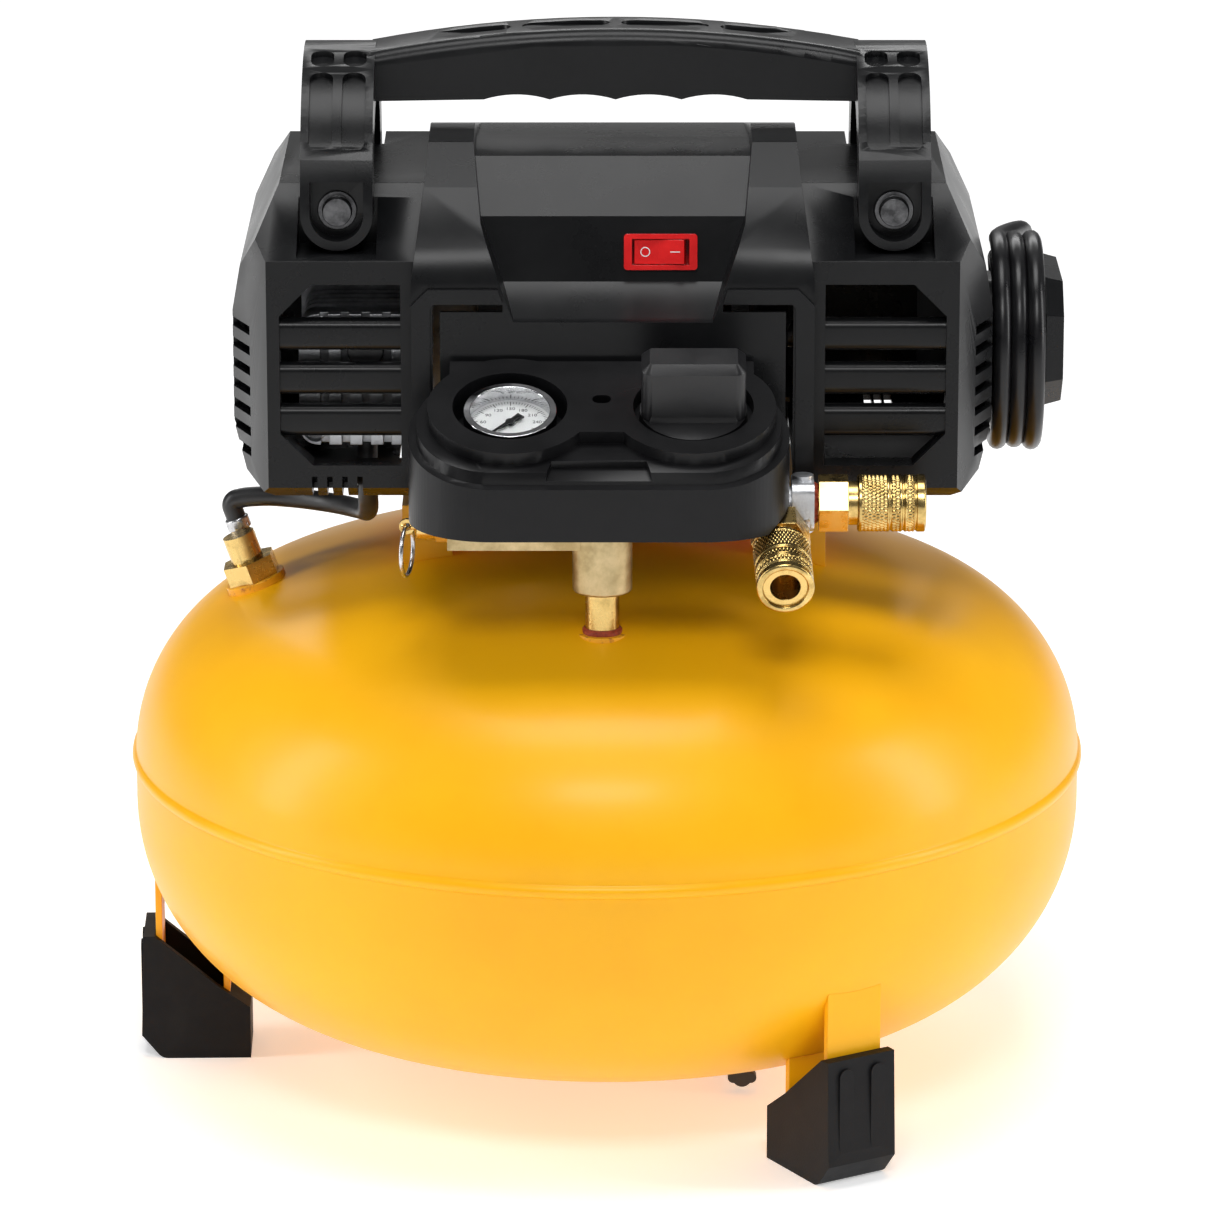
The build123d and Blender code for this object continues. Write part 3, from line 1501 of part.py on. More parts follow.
head_bolt_spread = 22.0
head_bolt_radius = 2.5
with BuildPart() as cylinder_head:
    with BuildSketch(Plane.XZ.offset(-cylinder_head_front - cylinder_head_depth)):
        with Locations((cylinder_x, shaft_z)):
            RectangleRounded(2 * head_half_height, 2 * head_half_height, 8)
    extrude(amount=cylinder_head_depth)
    for i in range(5):
        with Locations((cylinder_x + (i - 2) * 9, cylinder_head_front + 1, shaft_z)):
            Box(3.5, 7, 2 * head_half_height + 2, mode=Mode.SUBTRACT)
    with BuildSketch(Plane.XZ.offset(-cylinder_head_front - 4)):
        with Locations((cylinder_x, shaft_z)):
            with GridLocations(2 * head_bolt_spread, 2 * head_bolt_spread, 2, 2):
                Circle(5.5)
    extrude(amount=-6)
    with BuildSketch(Plane.XZ.offset(-cylinder_head_front - 4)):
        with Locations((cylinder_x, shaft_z)):
            with GridLocations(2 * head_bolt_spread, 2 * head_bolt_spread, 2, 2):
                Circle(5.5)
    extrude(amount=6, mode=Mode.SUBTRACT)
    with BuildSketch(Plane.XZ.offset(-cylinder_head_front - 4)):
        with Locations((cylinder_x, shaft_z)):
            with GridLocations(2 * head_bolt_spread, 2 * head_bolt_spread, 2, 2):
                Circle(head_bolt_radius)
    extrude(amount=-20, mode=Mode.SUBTRACT)
write(cylinder_head, "cylinder_head")

with BuildPart() as head_bolts:
    with BuildSketch(Plane.XZ.offset(-cylinder_head_front - 4)):
        with Locations((cylinder_x, shaft_z)):
            with GridLocations(2 * head_bolt_spread, 2 * head_bolt_spread, 2, 2):
                RegularPolygon(4, 6, major_radius=False)
    extrude(amount=3)
    with BuildSketch(Plane.XZ.offset(-cylinder_head_front - 4)):
        with Locations((cylinder_x, shaft_z)):
            with GridLocations(2 * head_bolt_spread, 2 * head_bolt_spread, 2, 2):
                Circle(head_bolt_radius)
    extrude(amount=-(cylinder_head_depth - 4.5))
write(head_bolts, "head_bolts")

big_end_radius = 13.0
rod_thickness = 10.0
pin_gap = 0.5
pin_radius = 5.0
crown_y = cylinder_front + 1.0
piston_thickness = 7.0
crank_throw = stroke / 2
pin_y = shaft_y - crank_throw
with BuildPart() as piston_rod:
    with BuildSketch(Plane.XZ.offset(-crown_y)):
        with Locations((cylinder_x, shaft_z)):
            Circle(bore_radius - running_fit)
    extrude(amount=-piston_thickness)
    with BuildSketch(Plane.XZ.offset(-crown_y)):
        with Locations((cylinder_x, shaft_z)):
            Circle(bore_radius - 7)
    extrude(amount=-2, mode=Mode.SUBTRACT)
    with BuildSketch(Plane.YZ.offset(cylinder_x - rod_thickness / 2)):
        with Locations((pin_y, shaft_z)):
            Circle(big_end_radius)
        with Locations(((crown_y + piston_thickness + pin_y) / 2 - 2, shaft_z)):
            Rectangle(pin_y - crown_y - piston_thickness + 2, 14)
        with Locations((pin_y, shaft_z)):
            Circle(pin_radius + 2.5, mode=Mode.SUBTRACT)
    extrude(amount=rod_thickness)
write(piston_rod, "piston_rod")

with BuildPart() as bearings:
    for x in (crankcase_right - bearing_width, right_bearing_x):
        with BuildSketch(shaft_plane.offset(x)):
            Circle(bearing_radius)
            Circle(shaft_radius + running_fit, mode=Mode.SUBTRACT)
        extrude(amount=bearing_width)
write(bearings, "bearings")

stator_left = -22.0
stator_right = 32.0
air_gap = 0.6
coil_ring_width = 12.0
with BuildPart() as motor_stator:
    with BuildSketch(shaft_plane.offset(stator_left)):
        Circle(stator_radius)
        Circle(rotor_radius + air_gap, mode=Mode.SUBTRACT)
        with PolarLocations(stator_radius - 4, 4, start_angle=45):
            Circle(2.4, mode=Mode.SUBTRACT)
    extrude(amount=stator_right - stator_left)
write(motor_stator, "motor_stator")

with BuildPart() as stator_windings:
    for x, way in ((stator_left, -1), (stator_right, 1)):
        with BuildSketch(shaft_plane.offset(x)):
            Circle(stator_radius - 8)
            Circle(rotor_radius + 3, mode=Mode.SUBTRACT)
        extrude(amount=way * coil_ring_width)
    fillet(stator_windings.edges().filter_by(GeomType.CIRCLE).group_by(Axis.X)[0], 3)
    fillet(stator_windings.edges().filter_by(GeomType.CIRCLE).group_by(Axis.X)[-1], 3)
write(stator_windings, "stator_windings")

bracket_wall = 4.0
bracket_left = right_bearing_x + 1
with BuildPart() as motor_bracket:
    with BuildSketch(shaft_plane.offset(bracket_left)):
        Circle(stator_radius)
        Circle(stator_radius - 12, mode=Mode.SUBTRACT)
        Rectangle(2 * stator_radius - 6, 12)
        Rectangle(12, 2 * stator_radius - 6)
        Circle(bearing_radius + 4)
    extrude(amount=bracket_wall)
    with BuildSketch(shaft_plane.offset(right_bearing_x)):
        Circle(bearing_radius + 4)
    extrude(amount=bearing_width)
    with BuildSketch(shaft_plane.offset(right_bearing_x - 1)):
        Circle(bearing_radius)
    extrude(amount=bearing_width + 2, mode=Mode.SUBTRACT)
    for y in (-8, 52):
        with BuildSketch(Plane.XY.offset(deck_top + foot_height)):
            with Locations((bracket_left + bracket_wall / 2, y)):
                Rectangle(16, 16)
        extrude(amount=5)
        with BuildSketch(Plane.XY.offset(deck_top + foot_height)):
            with Locations((bracket_left + bracket_wall / 2, y)):
                Rectangle(bracket_wall, 12)
        extrude(amount=34)
    with BuildSketch(shaft_plane.offset(bracket_left - 2)):
        Circle(stator_radius - 12)
        Circle(bearing_radius + 5, mode=Mode.SUBTRACT)
        Rectangle(2 * stator_radius - 6, 12, mode=Mode.SUBTRACT)
        Rectangle(12, 2 * stator_radius - 6, mode=Mode.SUBTRACT)
    extrude(amount=bracket_wall + 4, mode=Mode.SUBTRACT)
write(motor_bracket, "motor_bracket")

tie_rod_radius = 2.0
with BuildPart() as tie_rods:
    with BuildSketch(shaft_plane.offset(crankcase_right)):
        with PolarLocations(stator_radius - 4, 4, start_angle=45):
            Circle(tie_rod_radius)
    extrude(amount=bracket_left - crankcase_right)
write(tie_rods, "tie_rods")

with BuildPart() as vibration_mounts:
    with BuildSketch(Plane.XY.offset(deck_top)):
        with Locations((-76, 2), (-76, 52), (bracket_left + 2, -8), (bracket_left + 2, 52)):
            Circle(foot_radius)
    extrude(amount=foot_height)
write(vibration_mounts, "vibration_mounts")

fan_left = 64.0
fan_width = 16.0
fan_radius = 52.0
fan_hub = 13.0
shaft_right = fan_left + fan_width + 4
disc_width = 8.0
disc_x = -78.0
with BuildPart() as motor_shaft:
    with BuildSketch(shaft_plane.offset(disc_x + disc_width)):
        Circle(shaft_radius)
    extrude(amount=shaft_right - disc_x - disc_width)
write(motor_shaft, "motor_shaft")

with BuildPart() as rotor_core:
    with BuildSketch(shaft_plane.offset(stator_left)):
        Circle(rotor_radius)
        Circle(shaft_radius, mode=Mode.SUBTRACT)
    extrude(amount=stator_right - stator_left)
write(rotor_core, "rotor_core")

with BuildPart() as cooling_fan:
    with BuildSketch(shaft_plane.offset(fan_left)):
        Circle(fan_hub)
        with PolarLocations(0, 9):
            with Locations(((fan_hub + fan_radius) / 2 - 1, 0)):
                Rectangle(fan_radius - fan_hub + 2, 2.4)
        Circle(shaft_radius, mode=Mode.SUBTRACT)
    extrude(amount=fan_width)
    with BuildSketch(shaft_plane.offset(fan_left)):
        Circle(fan_radius)
        Circle(shaft_radius, mode=Mode.SUBTRACT)
    extrude(amount=1.6)
write(cooling_fan, "cooling_fan")

counterweight_depth = 12.0
counterweight_width = 30.0
with BuildPart() as crank_disc:
    with BuildSketch(shaft_plane.offset(disc_x)):
        Circle(14)
        with Locations((-crank_throw, 0)):
            Circle(8)
        with Locations((counterweight_depth, 0)):
            Rectangle(counterweight_depth, counterweight_width)
    extrude(amount=disc_width)
    with BuildSketch(shaft_plane.offset(disc_x)):
        with Locations((-crank_throw, 0)):
            Circle(pin_radius)
    extrude(amount=cylinder_x + rod_thickness / 2 + pin_gap - disc_x)
write(crank_disc, "crank_disc")

filter_radius = 8.0
with BuildPart() as intake_filter:
    with BuildSketch(Plane.XZ.offset(-cylinder_head_front)):
        with Locations((cylinder_x, shaft_z + 14)):
            Circle(filter_radius)
    extrude(amount=4.0)
    fillet(intake_filter.edges().group_by(Axis.Y)[0], 1)
write(intake_filter, "intake_filter")

# ---------------------------------------------------------------- pressure switch
switch_box_front = -82.0
with BuildPart() as pressure_switch:
    with Locations((30, switch_box_front + 17, 306)):
        Box(44, 34, 40)
    fillet(pressure_switch.edges().filter_by(Axis.Y), 3)
    with Locations((30, switch_box_front + 17, 332)):
        Cylinder(7, 14)
write(pressure_switch, "pressure_switch")

# ---------------------------------------------------------------- cord wrap and power cord
hub_half_y = 27.0
hub_half_z = 29.0
flange_thickness = 8.0
flange_z = 330.0
flange_half_y = 38.0
flange_half_z = 29.0
flange_corner = 14.0
coil_end_x = coil_start_x + coil_width
wrap_side = shroud_centre + shroud_half_width
with BuildPart() as cord_wrap:
    with BuildSketch(Plane.YZ.offset(wrap_side - 14)):
        with Locations((coil_centre_y, coil_centre_z)):
            RectangleRounded(2 * hub_half_y, 2 * hub_half_z, 20)
    extrude(amount=coil_end_x + contact_gap - wrap_side + 14)
    with BuildSketch(Plane.YZ.offset(coil_end_x + contact_gap)) as flange_sketch:
        with Locations((coil_centre_y, flange_z)):
            Rectangle(2 * flange_half_y, 2 * flange_half_z)
            flange_corners = flange_sketch.vertices()
        chamfer(flange_corners, flange_corner)
    extrude(amount=flange_thickness, taper=14)
    add(shroud_outside, mode=Mode.SUBTRACT)
write(cord_wrap, "cord_wrap")

with BuildPart() as cord_coil:
    with BuildSketch(Plane.YZ.offset(coil_start_x)):
        with Locations((coil_centre_y, coil_centre_z)):
            RectangleRounded(coil_depth, coil_height, coil_depth / 2 - 1)
            RectangleRounded(
                coil_depth - 2 * coil_layer,
                coil_height - 2 * coil_layer,
                coil_depth / 2 - 1 - coil_layer,
                mode=Mode.SUBTRACT,
            )
    extrude(amount=coil_width)
    fillet(cord_coil.edges().group_by(Axis.X)[0], 2.5)
    fillet(cord_coil.edges().group_by(Axis.X)[-1], 2.5)
write(cord_coil, "cord_coil")

relief_x = 118.0
relief_z = 300.0
relief_back = shroud_rear
strain_length = 26.0
with BuildPart() as strain_relief:
    with BuildSketch(Plane.XZ.offset(-relief_back)):
        with Locations((relief_x, relief_z)):
            Circle(8.5)
    extrude(amount=-3)
    with BuildSketch(Plane.XZ.offset(-relief_back - 3)):
        with Locations((relief_x, relief_z)):
            Circle(7)
    extrude(amount=-(strain_length - 3), taper=4)
write(strain_relief, "strain_relief")

cord_points = [
    (relief_x, relief_back + strain_length, relief_z),
    (relief_x, 160.0, relief_z),
    (125.0, 177.0, 292.0),
    (141.0, 187.0, 280.0),
    (159.0, 184.0, 269.0),
    (172.0, 170.0, 262.0),
    (179.0, 150.0, 258.0),
    (182.0, 127.0, 258.0),
    (183.0, 104.0, 263.0),
    (183.0, 82.0, 274.0),
    (183.0, 62.0, 289.0),
    (183.0, 50.0, 304.0),
]
cord_bends = smooth_radii(cord_points)
print("cord radii", [round(r, 1) for r in cord_bends])
with BuildPart() as cord_lead:
    with BuildLine() as cord_path:
        FilletPolyline(*cord_points, radius=cord_bends)
    with BuildSketch(Plane(origin=cord_path.line @ 0, z_dir=cord_path.line % 0)):
        Circle(cord_radius)
    sweep(path=cord_path.line)
lead_length = sum(edge.length for edge in cord_path.line.edges())
lead_share = cord_lead.part.volume / (math.pi * cord_radius**2 * lead_length)
print("cord lead length", round(lead_length, 1), "volume ratio", round(lead_share, 4))
write(cord_lead, "cord_lead")

tail_points = [
    (187.5, 36.0, 359.0),
    (187.5, 54.0, 365.0),
    (187.5, 70.0, 362.0),
    (187.5, 77.0, 354.0),
    (187.5, 78.0, 345.0),
]
tail_bends = smooth_radii(tail_points)
print("tail radii", [round(r, 1) for r in tail_bends])
with BuildPart() as cord_tail:
    with BuildLine() as tail_path:
        FilletPolyline(*tail_points, radius=tail_bends)
    with BuildSketch(Plane(origin=tail_path.line @ 0, z_dir=tail_path.line % 0)):
        Circle(cord_radius)
    sweep(path=tail_path.line)
print("cord tail length", round(sum(edge.length for edge in tail_path.line.edges()), 1))
write(cord_tail, "cord_tail")

plug_end = Vector(*tail_points[-1])
plug_neck = 12.0
plug_body = 26.0
blade_length = 17.0
with BuildPart() as plug:
    down = tail_path.line % 1
    plug_plane = Plane(origin=plug_end, x_dir=(1, 0, 0), z_dir=down)
    with BuildSketch(plug_plane):
        Circle(5)
    extrude(amount=plug_neck, taper=-6)
    with BuildSketch(plug_plane.offset(plug_neck)):
        RectangleRounded(24, 19, 6)
    extrude(amount=plug_body)
    with BuildSketch(plug_plane.offset(plug_neck + plug_body)):
        with Locations((-6.35, 0), (6.35, 0)):
            Rectangle(1.5, 6.4)
        with Locations((0, 6)):
            Circle(2.3)
    extrude(amount=blade_length)
write(plug, "plug")
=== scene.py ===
import json
import math
import bmesh
import bpy
import numpy as np
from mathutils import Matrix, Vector
from mathutils.bvhtree import BVHTree

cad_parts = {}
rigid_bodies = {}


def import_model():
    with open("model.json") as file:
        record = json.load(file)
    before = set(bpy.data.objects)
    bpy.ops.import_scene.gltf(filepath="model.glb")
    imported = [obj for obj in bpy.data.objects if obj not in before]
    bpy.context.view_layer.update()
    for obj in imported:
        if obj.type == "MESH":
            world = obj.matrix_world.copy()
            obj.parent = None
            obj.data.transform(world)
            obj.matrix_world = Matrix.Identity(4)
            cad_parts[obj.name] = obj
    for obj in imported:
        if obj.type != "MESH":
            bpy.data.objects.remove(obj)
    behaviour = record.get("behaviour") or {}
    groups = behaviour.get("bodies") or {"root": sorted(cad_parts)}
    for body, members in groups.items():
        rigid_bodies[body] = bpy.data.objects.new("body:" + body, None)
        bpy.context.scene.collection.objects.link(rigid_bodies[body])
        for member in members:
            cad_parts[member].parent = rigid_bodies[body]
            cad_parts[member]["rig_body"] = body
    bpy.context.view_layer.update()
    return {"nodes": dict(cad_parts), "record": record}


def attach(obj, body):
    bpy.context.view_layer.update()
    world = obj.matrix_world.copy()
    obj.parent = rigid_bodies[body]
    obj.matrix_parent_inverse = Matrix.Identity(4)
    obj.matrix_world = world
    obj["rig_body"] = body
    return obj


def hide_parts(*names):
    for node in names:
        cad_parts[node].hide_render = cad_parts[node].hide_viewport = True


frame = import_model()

record = frame["record"]
slotOf = {part["node"]: part["material_slot"] for part in record["subparts"]}
scene = bpy.context.scene
mm = 0.001
print("frame loaded,", len(frame["nodes"]), "nodes")


# camera
view = {"place": (0.0, -2.8627, 1.0396), "dip": 16.239, "lens": 198.4, "sensor": 36.0}
cameraData = bpy.data.cameras.new("productCamera")
cameraData.lens = view["lens"]
cameraData.sensor_width = view["sensor"]
camera = bpy.data.objects.new("productCamera", cameraData)
camera.location = view["place"]
camera.rotation_euler = (math.radians(90 - view["dip"]), 0, 0)
scene.collection.objects.link(camera)
scene.camera = camera


# power cord: from the strain relief to the wrap, nearly six turns round it, then the tail to the plug
powerCord = {"diameter": 8.0, "length": 1.83, "turns": 5.69, "pointsPerTurn": 20, "centre": (15.0, 325.0),
             "firstLane": 172.6, "lanePitch": 7.5, "layerPitch": 8.0, "halfDepth": 35.6, "halfHeight": 36.6,
             "firstAngle": -38, "crossing": 0.3, "power": 2.2, "slack": 0.5, "slackRate": 2.3,
             "slackStart": 1.1}
turnPlaces = [(0, 0), (1, 0), (2, 0), (2, 1), (1, 1), (0, 1), (0, 1)]
leadRun = [(118, 144, 300), (118, 160, 300), (125, 177, 292), (141, 187, 280), (159, 184, 269),
           (172, 170, 262), (179, 150, 258), (182, 127, 258), (182, 104, 262), (179, 83, 271), (175, 62, 284)]
tailRun = [(183, 54, 366), (187.5, 70, 362), (187.5, 77, 354), (187.5, 78, 345)]


def coilTurns(c):
    # each turn lies in a lane along x and a layer out from the hub, and crosses to the next place near its
    # end; the loop itself is |y/a|^p + |z/b|^p = 1, with slack sin(slackRate turn + slackStart) in a and b
    count = int(c["turns"] * c["pointsPerTurn"])
    turn = np.linspace(0, c["turns"], count)
    angle = math.radians(c["firstAngle"]) - 2 * math.pi * turn
    held = np.floor(turn).astype(int)
    ramp = np.clip((turn - held - 1 + c["crossing"]) / c["crossing"], 0, 1)
    ramp = ramp * ramp * (3 - 2 * ramp)
    places = np.array(turnPlaces, float)
    lane, layer = (places[held] * (1 - ramp[:, None]) + places[held + 1] * ramp[:, None]).T
    reach = (np.abs(np.cos(angle)) ** c["power"] + np.abs(np.sin(angle)) ** c["power"]) ** (-1 / c["power"])
    grown = layer * c["layerPitch"] + c["slack"] * np.sin(c["slackRate"] * turn + c["slackStart"])
    x = c["firstLane"] + lane * c["lanePitch"]
    y = c["centre"][0] + (c["halfDepth"] + grown) * reach * np.cos(angle)
    z = c["centre"][1] + (c["halfHeight"] + grown) * reach * np.sin(angle)
    return np.stack([x, y, z], axis=1)


cordRoute = np.concatenate([np.array(leadRun, float), coilTurns(powerCord), np.array(tailRun, float)]) * mm
cordCurve = bpy.data.curves.new("powerCord", "CURVE")
cordCurve.dimensions = "3D"
cordCurve.bevel_depth = powerCord["diameter"] / 2 * mm
cordCurve.bevel_resolution = 5
cordCurve.use_fill_caps = True
spline = cordCurve.splines.new("NURBS")
spline.points.add(len(cordRoute) - 1)
spline.points.foreach_set("co", np.column_stack([cordRoute, np.ones(len(cordRoute))]).ravel())
spline.order_u = 3
spline.use_endpoint_u = True
spline.resolution_u = 8
cord = bpy.data.objects.new("powerCord", cordCurve)
scene.collection.objects.link(cord)
print("cord laid")


# surfaces
def placed(points, origin, xDir, zDir):
    # local (x, y, z) rows turned so that z runs along zDir and x along xDir, then moved to origin
    z = np.array(zDir, float) / np.linalg.norm(zDir)
    x = np.array(xDir, float)
    x = x - z * (x @ z)
    x = x / np.linalg.norm(x)
    y = np.cross(z, x)
    return np.array(origin, float) + points @ np.stack([x, y, z])


def surfaceMesh(name, grid, wrapU=True, wrapV=False, capStart=False, capEnd=False):
    # grid[v, u] is a point; neighbours are joined by quads, and a capped end is one flat ring of corners
    rows, columns = grid.shape[:2]
    rowSteps = np.arange(rows if wrapV else rows - 1)
    columnSteps = np.arange(columns if wrapU else columns - 1)
    v, u = np.meshgrid(rowSteps, columnSteps, indexing="ij")
    v, u = v.ravel(), u.ravel()
    nextV, nextU = (v + 1) % rows, (u + 1) % columns
    corners = [v * columns + u, v * columns + nextU, nextV * columns + nextU, nextV * columns + u]
    faces = np.stack(corners, axis=1).tolist()
    if capStart:
        faces.append(list(range(columns - 1, -1, -1)))
    if capEnd:
        faces.append(list(range((rows - 1) * columns, rows * columns)))
    mesh = bpy.data.meshes.new(name)
    mesh.from_pydata(grid.reshape(-1, 3), [], faces)
    cleaned(mesh)
    return mesh


def cleaned(mesh, weld=1e-7):
    # doubles merged first, then every face turned outwards
    work = bmesh.new()
    work.from_mesh(mesh)
    bmesh.ops.remove_doubles(work, verts=work.verts, dist=weld)
    bmesh.ops.recalc_face_normals(work, faces=work.faces)
    work.to_mesh(mesh)
    work.free()


def smoothed(mesh, degrees=34):
    mesh.shade_smooth()
    mesh.set_sharp_from_angle(angle=math.radians(degrees))


def turned(radii, heights, steps, waviness=None):
    # profile (r, h) carried round the z axis: point = (r cos a, r sin a, h), r changed by waviness(a, h)
    a = np.linspace(0, 2 * math.pi, steps, endpoint=False)
    r = np.repeat(np.asarray(radii, float)[:, None], steps, axis=1)
    h = np.repeat(np.asarray(heights, float)[:, None], steps, axis=1)
    if waviness is not None:
        r = r + waviness(a[None, :], h)
    return np.stack([r * np.cos(a), r * np.sin(a), h], axis=2)


def piece(name, mesh, body, material, stands=()):
    made = bpy.data.objects.new(name, mesh)
    scene.collection.objects.link(made)
    mesh.materials.clear()
    mesh.materials.append(material)
    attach(made, body)
    if stands:
        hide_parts(*stands)
    return made


# finishes
slowNoise = {"detail": 5, "roughness": 0.62, "low": 0.3, "high": 0.7}


def nodeSet(name):
    material = bpy.data.materials.new(name)
    material.use_nodes = True
    tree = material.node_tree
    return material, tree.nodes, tree.links, tree.nodes["Principled BSDF"]


def mottled(name, look):
    # two tones and two roughnesses follow slow noise, and a fine noise gives the skin its height
    material, nodes, links, shader = nodeSet(name)
    where = nodes.new("ShaderNodeTexCoord")
    stretch = nodes.new("ShaderNodeMapping")
    stretch.inputs["Scale"].default_value = look.get("stretch", (1, 1, 1))
    links.new(where.outputs["Object"], stretch.inputs["Vector"])
    slow = nodes.new("ShaderNodeTexNoise")
    slow.inputs["Scale"].default_value = look["patchScale"]
    slow.inputs["Detail"].default_value = slowNoise["detail"]
    slow.inputs["Roughness"].default_value = slowNoise["roughness"]
    links.new(stretch.outputs["Vector"], slow.inputs["Vector"])
    tones = nodes.new("ShaderNodeValToRGB")
    tones.color_ramp.elements[0].position = look.get("toneLow", 0.36)
    tones.color_ramp.elements[1].position = look.get("toneHigh", 0.66)
    tones.color_ramp.elements[0].color = (*look["darkTone"], 1)
    tones.color_ramp.elements[1].color = (*look["lightTone"], 1)
    links.new(slow.outputs["Fac"], tones.inputs["Fac"])
    links.new(tones.outputs["Color"], shader.inputs["Base Color"])
    gloss = nodes.new("ShaderNodeMapRange")
    gloss.inputs["From Min"].default_value = slowNoise["low"]
    gloss.inputs["From Max"].default_value = slowNoise["high"]
    gloss.inputs["To Min"].default_value = look["roughness"][0]
    gloss.inputs["To Max"].default_value = look["roughness"][1]
    links.new(slow.outputs["Fac"], gloss.inputs["Value"])
    links.new(gloss.outputs["Result"], shader.inputs["Roughness"])
    fine = nodes.new("ShaderNodeTexNoise")
    fine.inputs["Scale"].default_value = look["grainScale"]
    fine.inputs["Detail"].default_value = look.get("grainDetail", 3)
    links.new(stretch.outputs["Vector"], fine.inputs["Vector"])
    height = nodes.new("ShaderNodeBump")
    height.inputs["Strength"].default_value = look["grainStrength"]
    height.inputs["Distance"].default_value = look["grainHeight"] * mm
    links.new(fine.outputs["Fac"], height.inputs["Height"])
    links.new(height.outputs["Normal"], shader.inputs["Normal"])
    shader.inputs["Metallic"].default_value = look.get("metallic", 0)
    shader.inputs["Coat Weight"].default_value = look.get("coat", 0)
    shader.inputs["Coat Roughness"].default_value = look.get("coatRoughness", 0.1)
    shader.inputs["Specular IOR Level"].default_value = look.get("specular", 0.5)
    return material


tankPaint = {"darkTone": (0.95, 0.44, 0.002), "lightTone": (1.0, 0.49, 0.004), "patchScale": 9,
             "roughness": (0.34, 0.42), "grainScale": 520, "grainStrength": 0.16, "grainHeight": 0.10,
             "coat": 0.1, "coatRoughness": 0.2, "specular": 0.3}
bungPaint = {"darkTone": (0.42, 0.12, 0.01), "lightTone": (0.93, 0.44, 0.01), "patchScale": 260,
             "roughness": (0.35, 0.6), "grainScale": 900, "grainStrength": 0.4, "grainHeight": 0.15,
             "toneLow": 0.3, "toneHigh": 0.46}
bootRubber = {"darkTone": (0.004, 0.004, 0.005), "lightTone": (0.009, 0.009, 0.010), "patchScale": 60,
              "roughness": (0.50, 0.64), "grainScale": 1500, "grainStrength": 0.5, "grainHeight": 0.12,
              "specular": 0.2}
turnedBrass = {"darkTone": (0.34, 0.21, 0.06), "lightTone": (0.74, 0.52, 0.19), "patchScale": 120,
               "roughness": (0.18, 0.36), "grainScale": 1600, "grainStrength": 0.15, "grainHeight": 0.05,
               "metallic": 1, "toneLow": 0.2, "toneHigh": 0.5}
knurlBrass = {"darkTone": (0.42, 0.28, 0.09), "lightTone": (0.76, 0.56, 0.22), "patchScale": 150,
              "roughness": (0.16, 0.28), "grainScale": 1600, "grainStrength": 0.1, "grainHeight": 0.05,
              "metallic": 1}
dullBrass = {"darkTone": (0.36, 0.27, 0.13), "lightTone": (0.66, 0.53, 0.30), "patchScale": 90,
             "roughness": (0.3, 0.48), "grainScale": 700, "grainStrength": 0.45, "grainHeight": 0.18,
             "metallic": 1}
sealantPaste = {"darkTone": (0.20, 0.02, 0.008), "lightTone": (0.42, 0.06, 0.02), "patchScale": 500,
                "roughness": (0.35, 0.6), "grainScale": 900, "grainStrength": 0.8, "grainHeight": 0.4}
crimpSteel = {"darkTone": (0.42, 0.42, 0.43), "lightTone": (0.72, 0.72, 0.73), "patchScale": 200,
              "roughness": (0.2, 0.34), "grainScale": 1200, "grainStrength": 0.1, "grainHeight": 0.05,
              "metallic": 1}
hoseRubber = {"darkTone": (0.010, 0.010, 0.011), "lightTone": (0.022, 0.022, 0.024), "patchScale": 80,
              "roughness": (0.34, 0.5), "grainScale": 1300, "grainStrength": 0.3, "grainHeight": 0.1}
castAluminium = {"darkTone": (0.50, 0.51, 0.53), "lightTone": (0.74, 0.75, 0.77), "patchScale": 110,
                 "roughness": (0.32, 0.5), "grainScale": 900, "grainStrength": 0.6, "grainHeight": 0.2,
                 "metallic": 1}
consolePlastic = {"darkTone": (0.0042, 0.0042, 0.0048), "lightTone": (0.0070, 0.0070, 0.0078),
                  "patchScale": 24, "roughness": (0.29, 0.38), "grainScale": 1500, "grainStrength": 0.22,
                  "grainHeight": 0.07, "specular": 0.24}
knobPlastic = {"darkTone": (0.006, 0.006, 0.007), "lightTone": (0.011, 0.011, 0.012), "patchScale": 50,
               "roughness": (0.36, 0.46), "grainScale": 1900, "grainStrength": 0.35, "grainHeight": 0.09}
caseEnamel = {"darkTone": (0.02, 0.02, 0.022), "lightTone": (0.035, 0.035, 0.037), "patchScale": 80,
              "roughness": (0.25, 0.4), "grainScale": 900, "grainStrength": 0.2, "grainHeight": 0.06}
bezelChrome = {"darkTone": (0.62, 0.62, 0.64), "lightTone": (0.80, 0.80, 0.82), "patchScale": 160,
               "roughness": (0.07, 0.16), "grainScale": 900, "grainStrength": 0.05, "grainHeight": 0.03,
               "metallic": 1}
dialCard = {"darkTone": (0.84, 0.84, 0.82), "lightTone": (0.90, 0.90, 0.88), "patchScale": 90,
            "roughness": (0.45, 0.55), "grainScale": 1800, "grainStrength": 0.1, "grainHeight": 0.02}
needleEnamel = {"darkTone": (0.006, 0.006, 0.006), "lightTone": (0.012, 0.012, 0.012), "patchScale": 300,
                "roughness": (0.35, 0.5), "grainScale": 1800, "grainStrength": 0.1, "grainHeight": 0.02}
shroudPlastic = {"darkTone": (0.0050, 0.0052, 0.0058), "lightTone": (0.0085, 0.0088, 0.0095),
                 "patchScale": 18, "roughness": (0.24, 0.33), "grainScale": 1250, "grainStrength": 0.25,
                 "grainHeight": 0.07, "specular": 0.22}
handlePlastic = {"darkTone": (0.0050, 0.0052, 0.0058), "lightTone": (0.0085, 0.0088, 0.0095),
                 "patchScale": 26, "roughness": (0.26, 0.36), "grainScale": 1250, "grainStrength": 0.30,
                 "grainHeight": 0.08, "specular": 0.24}
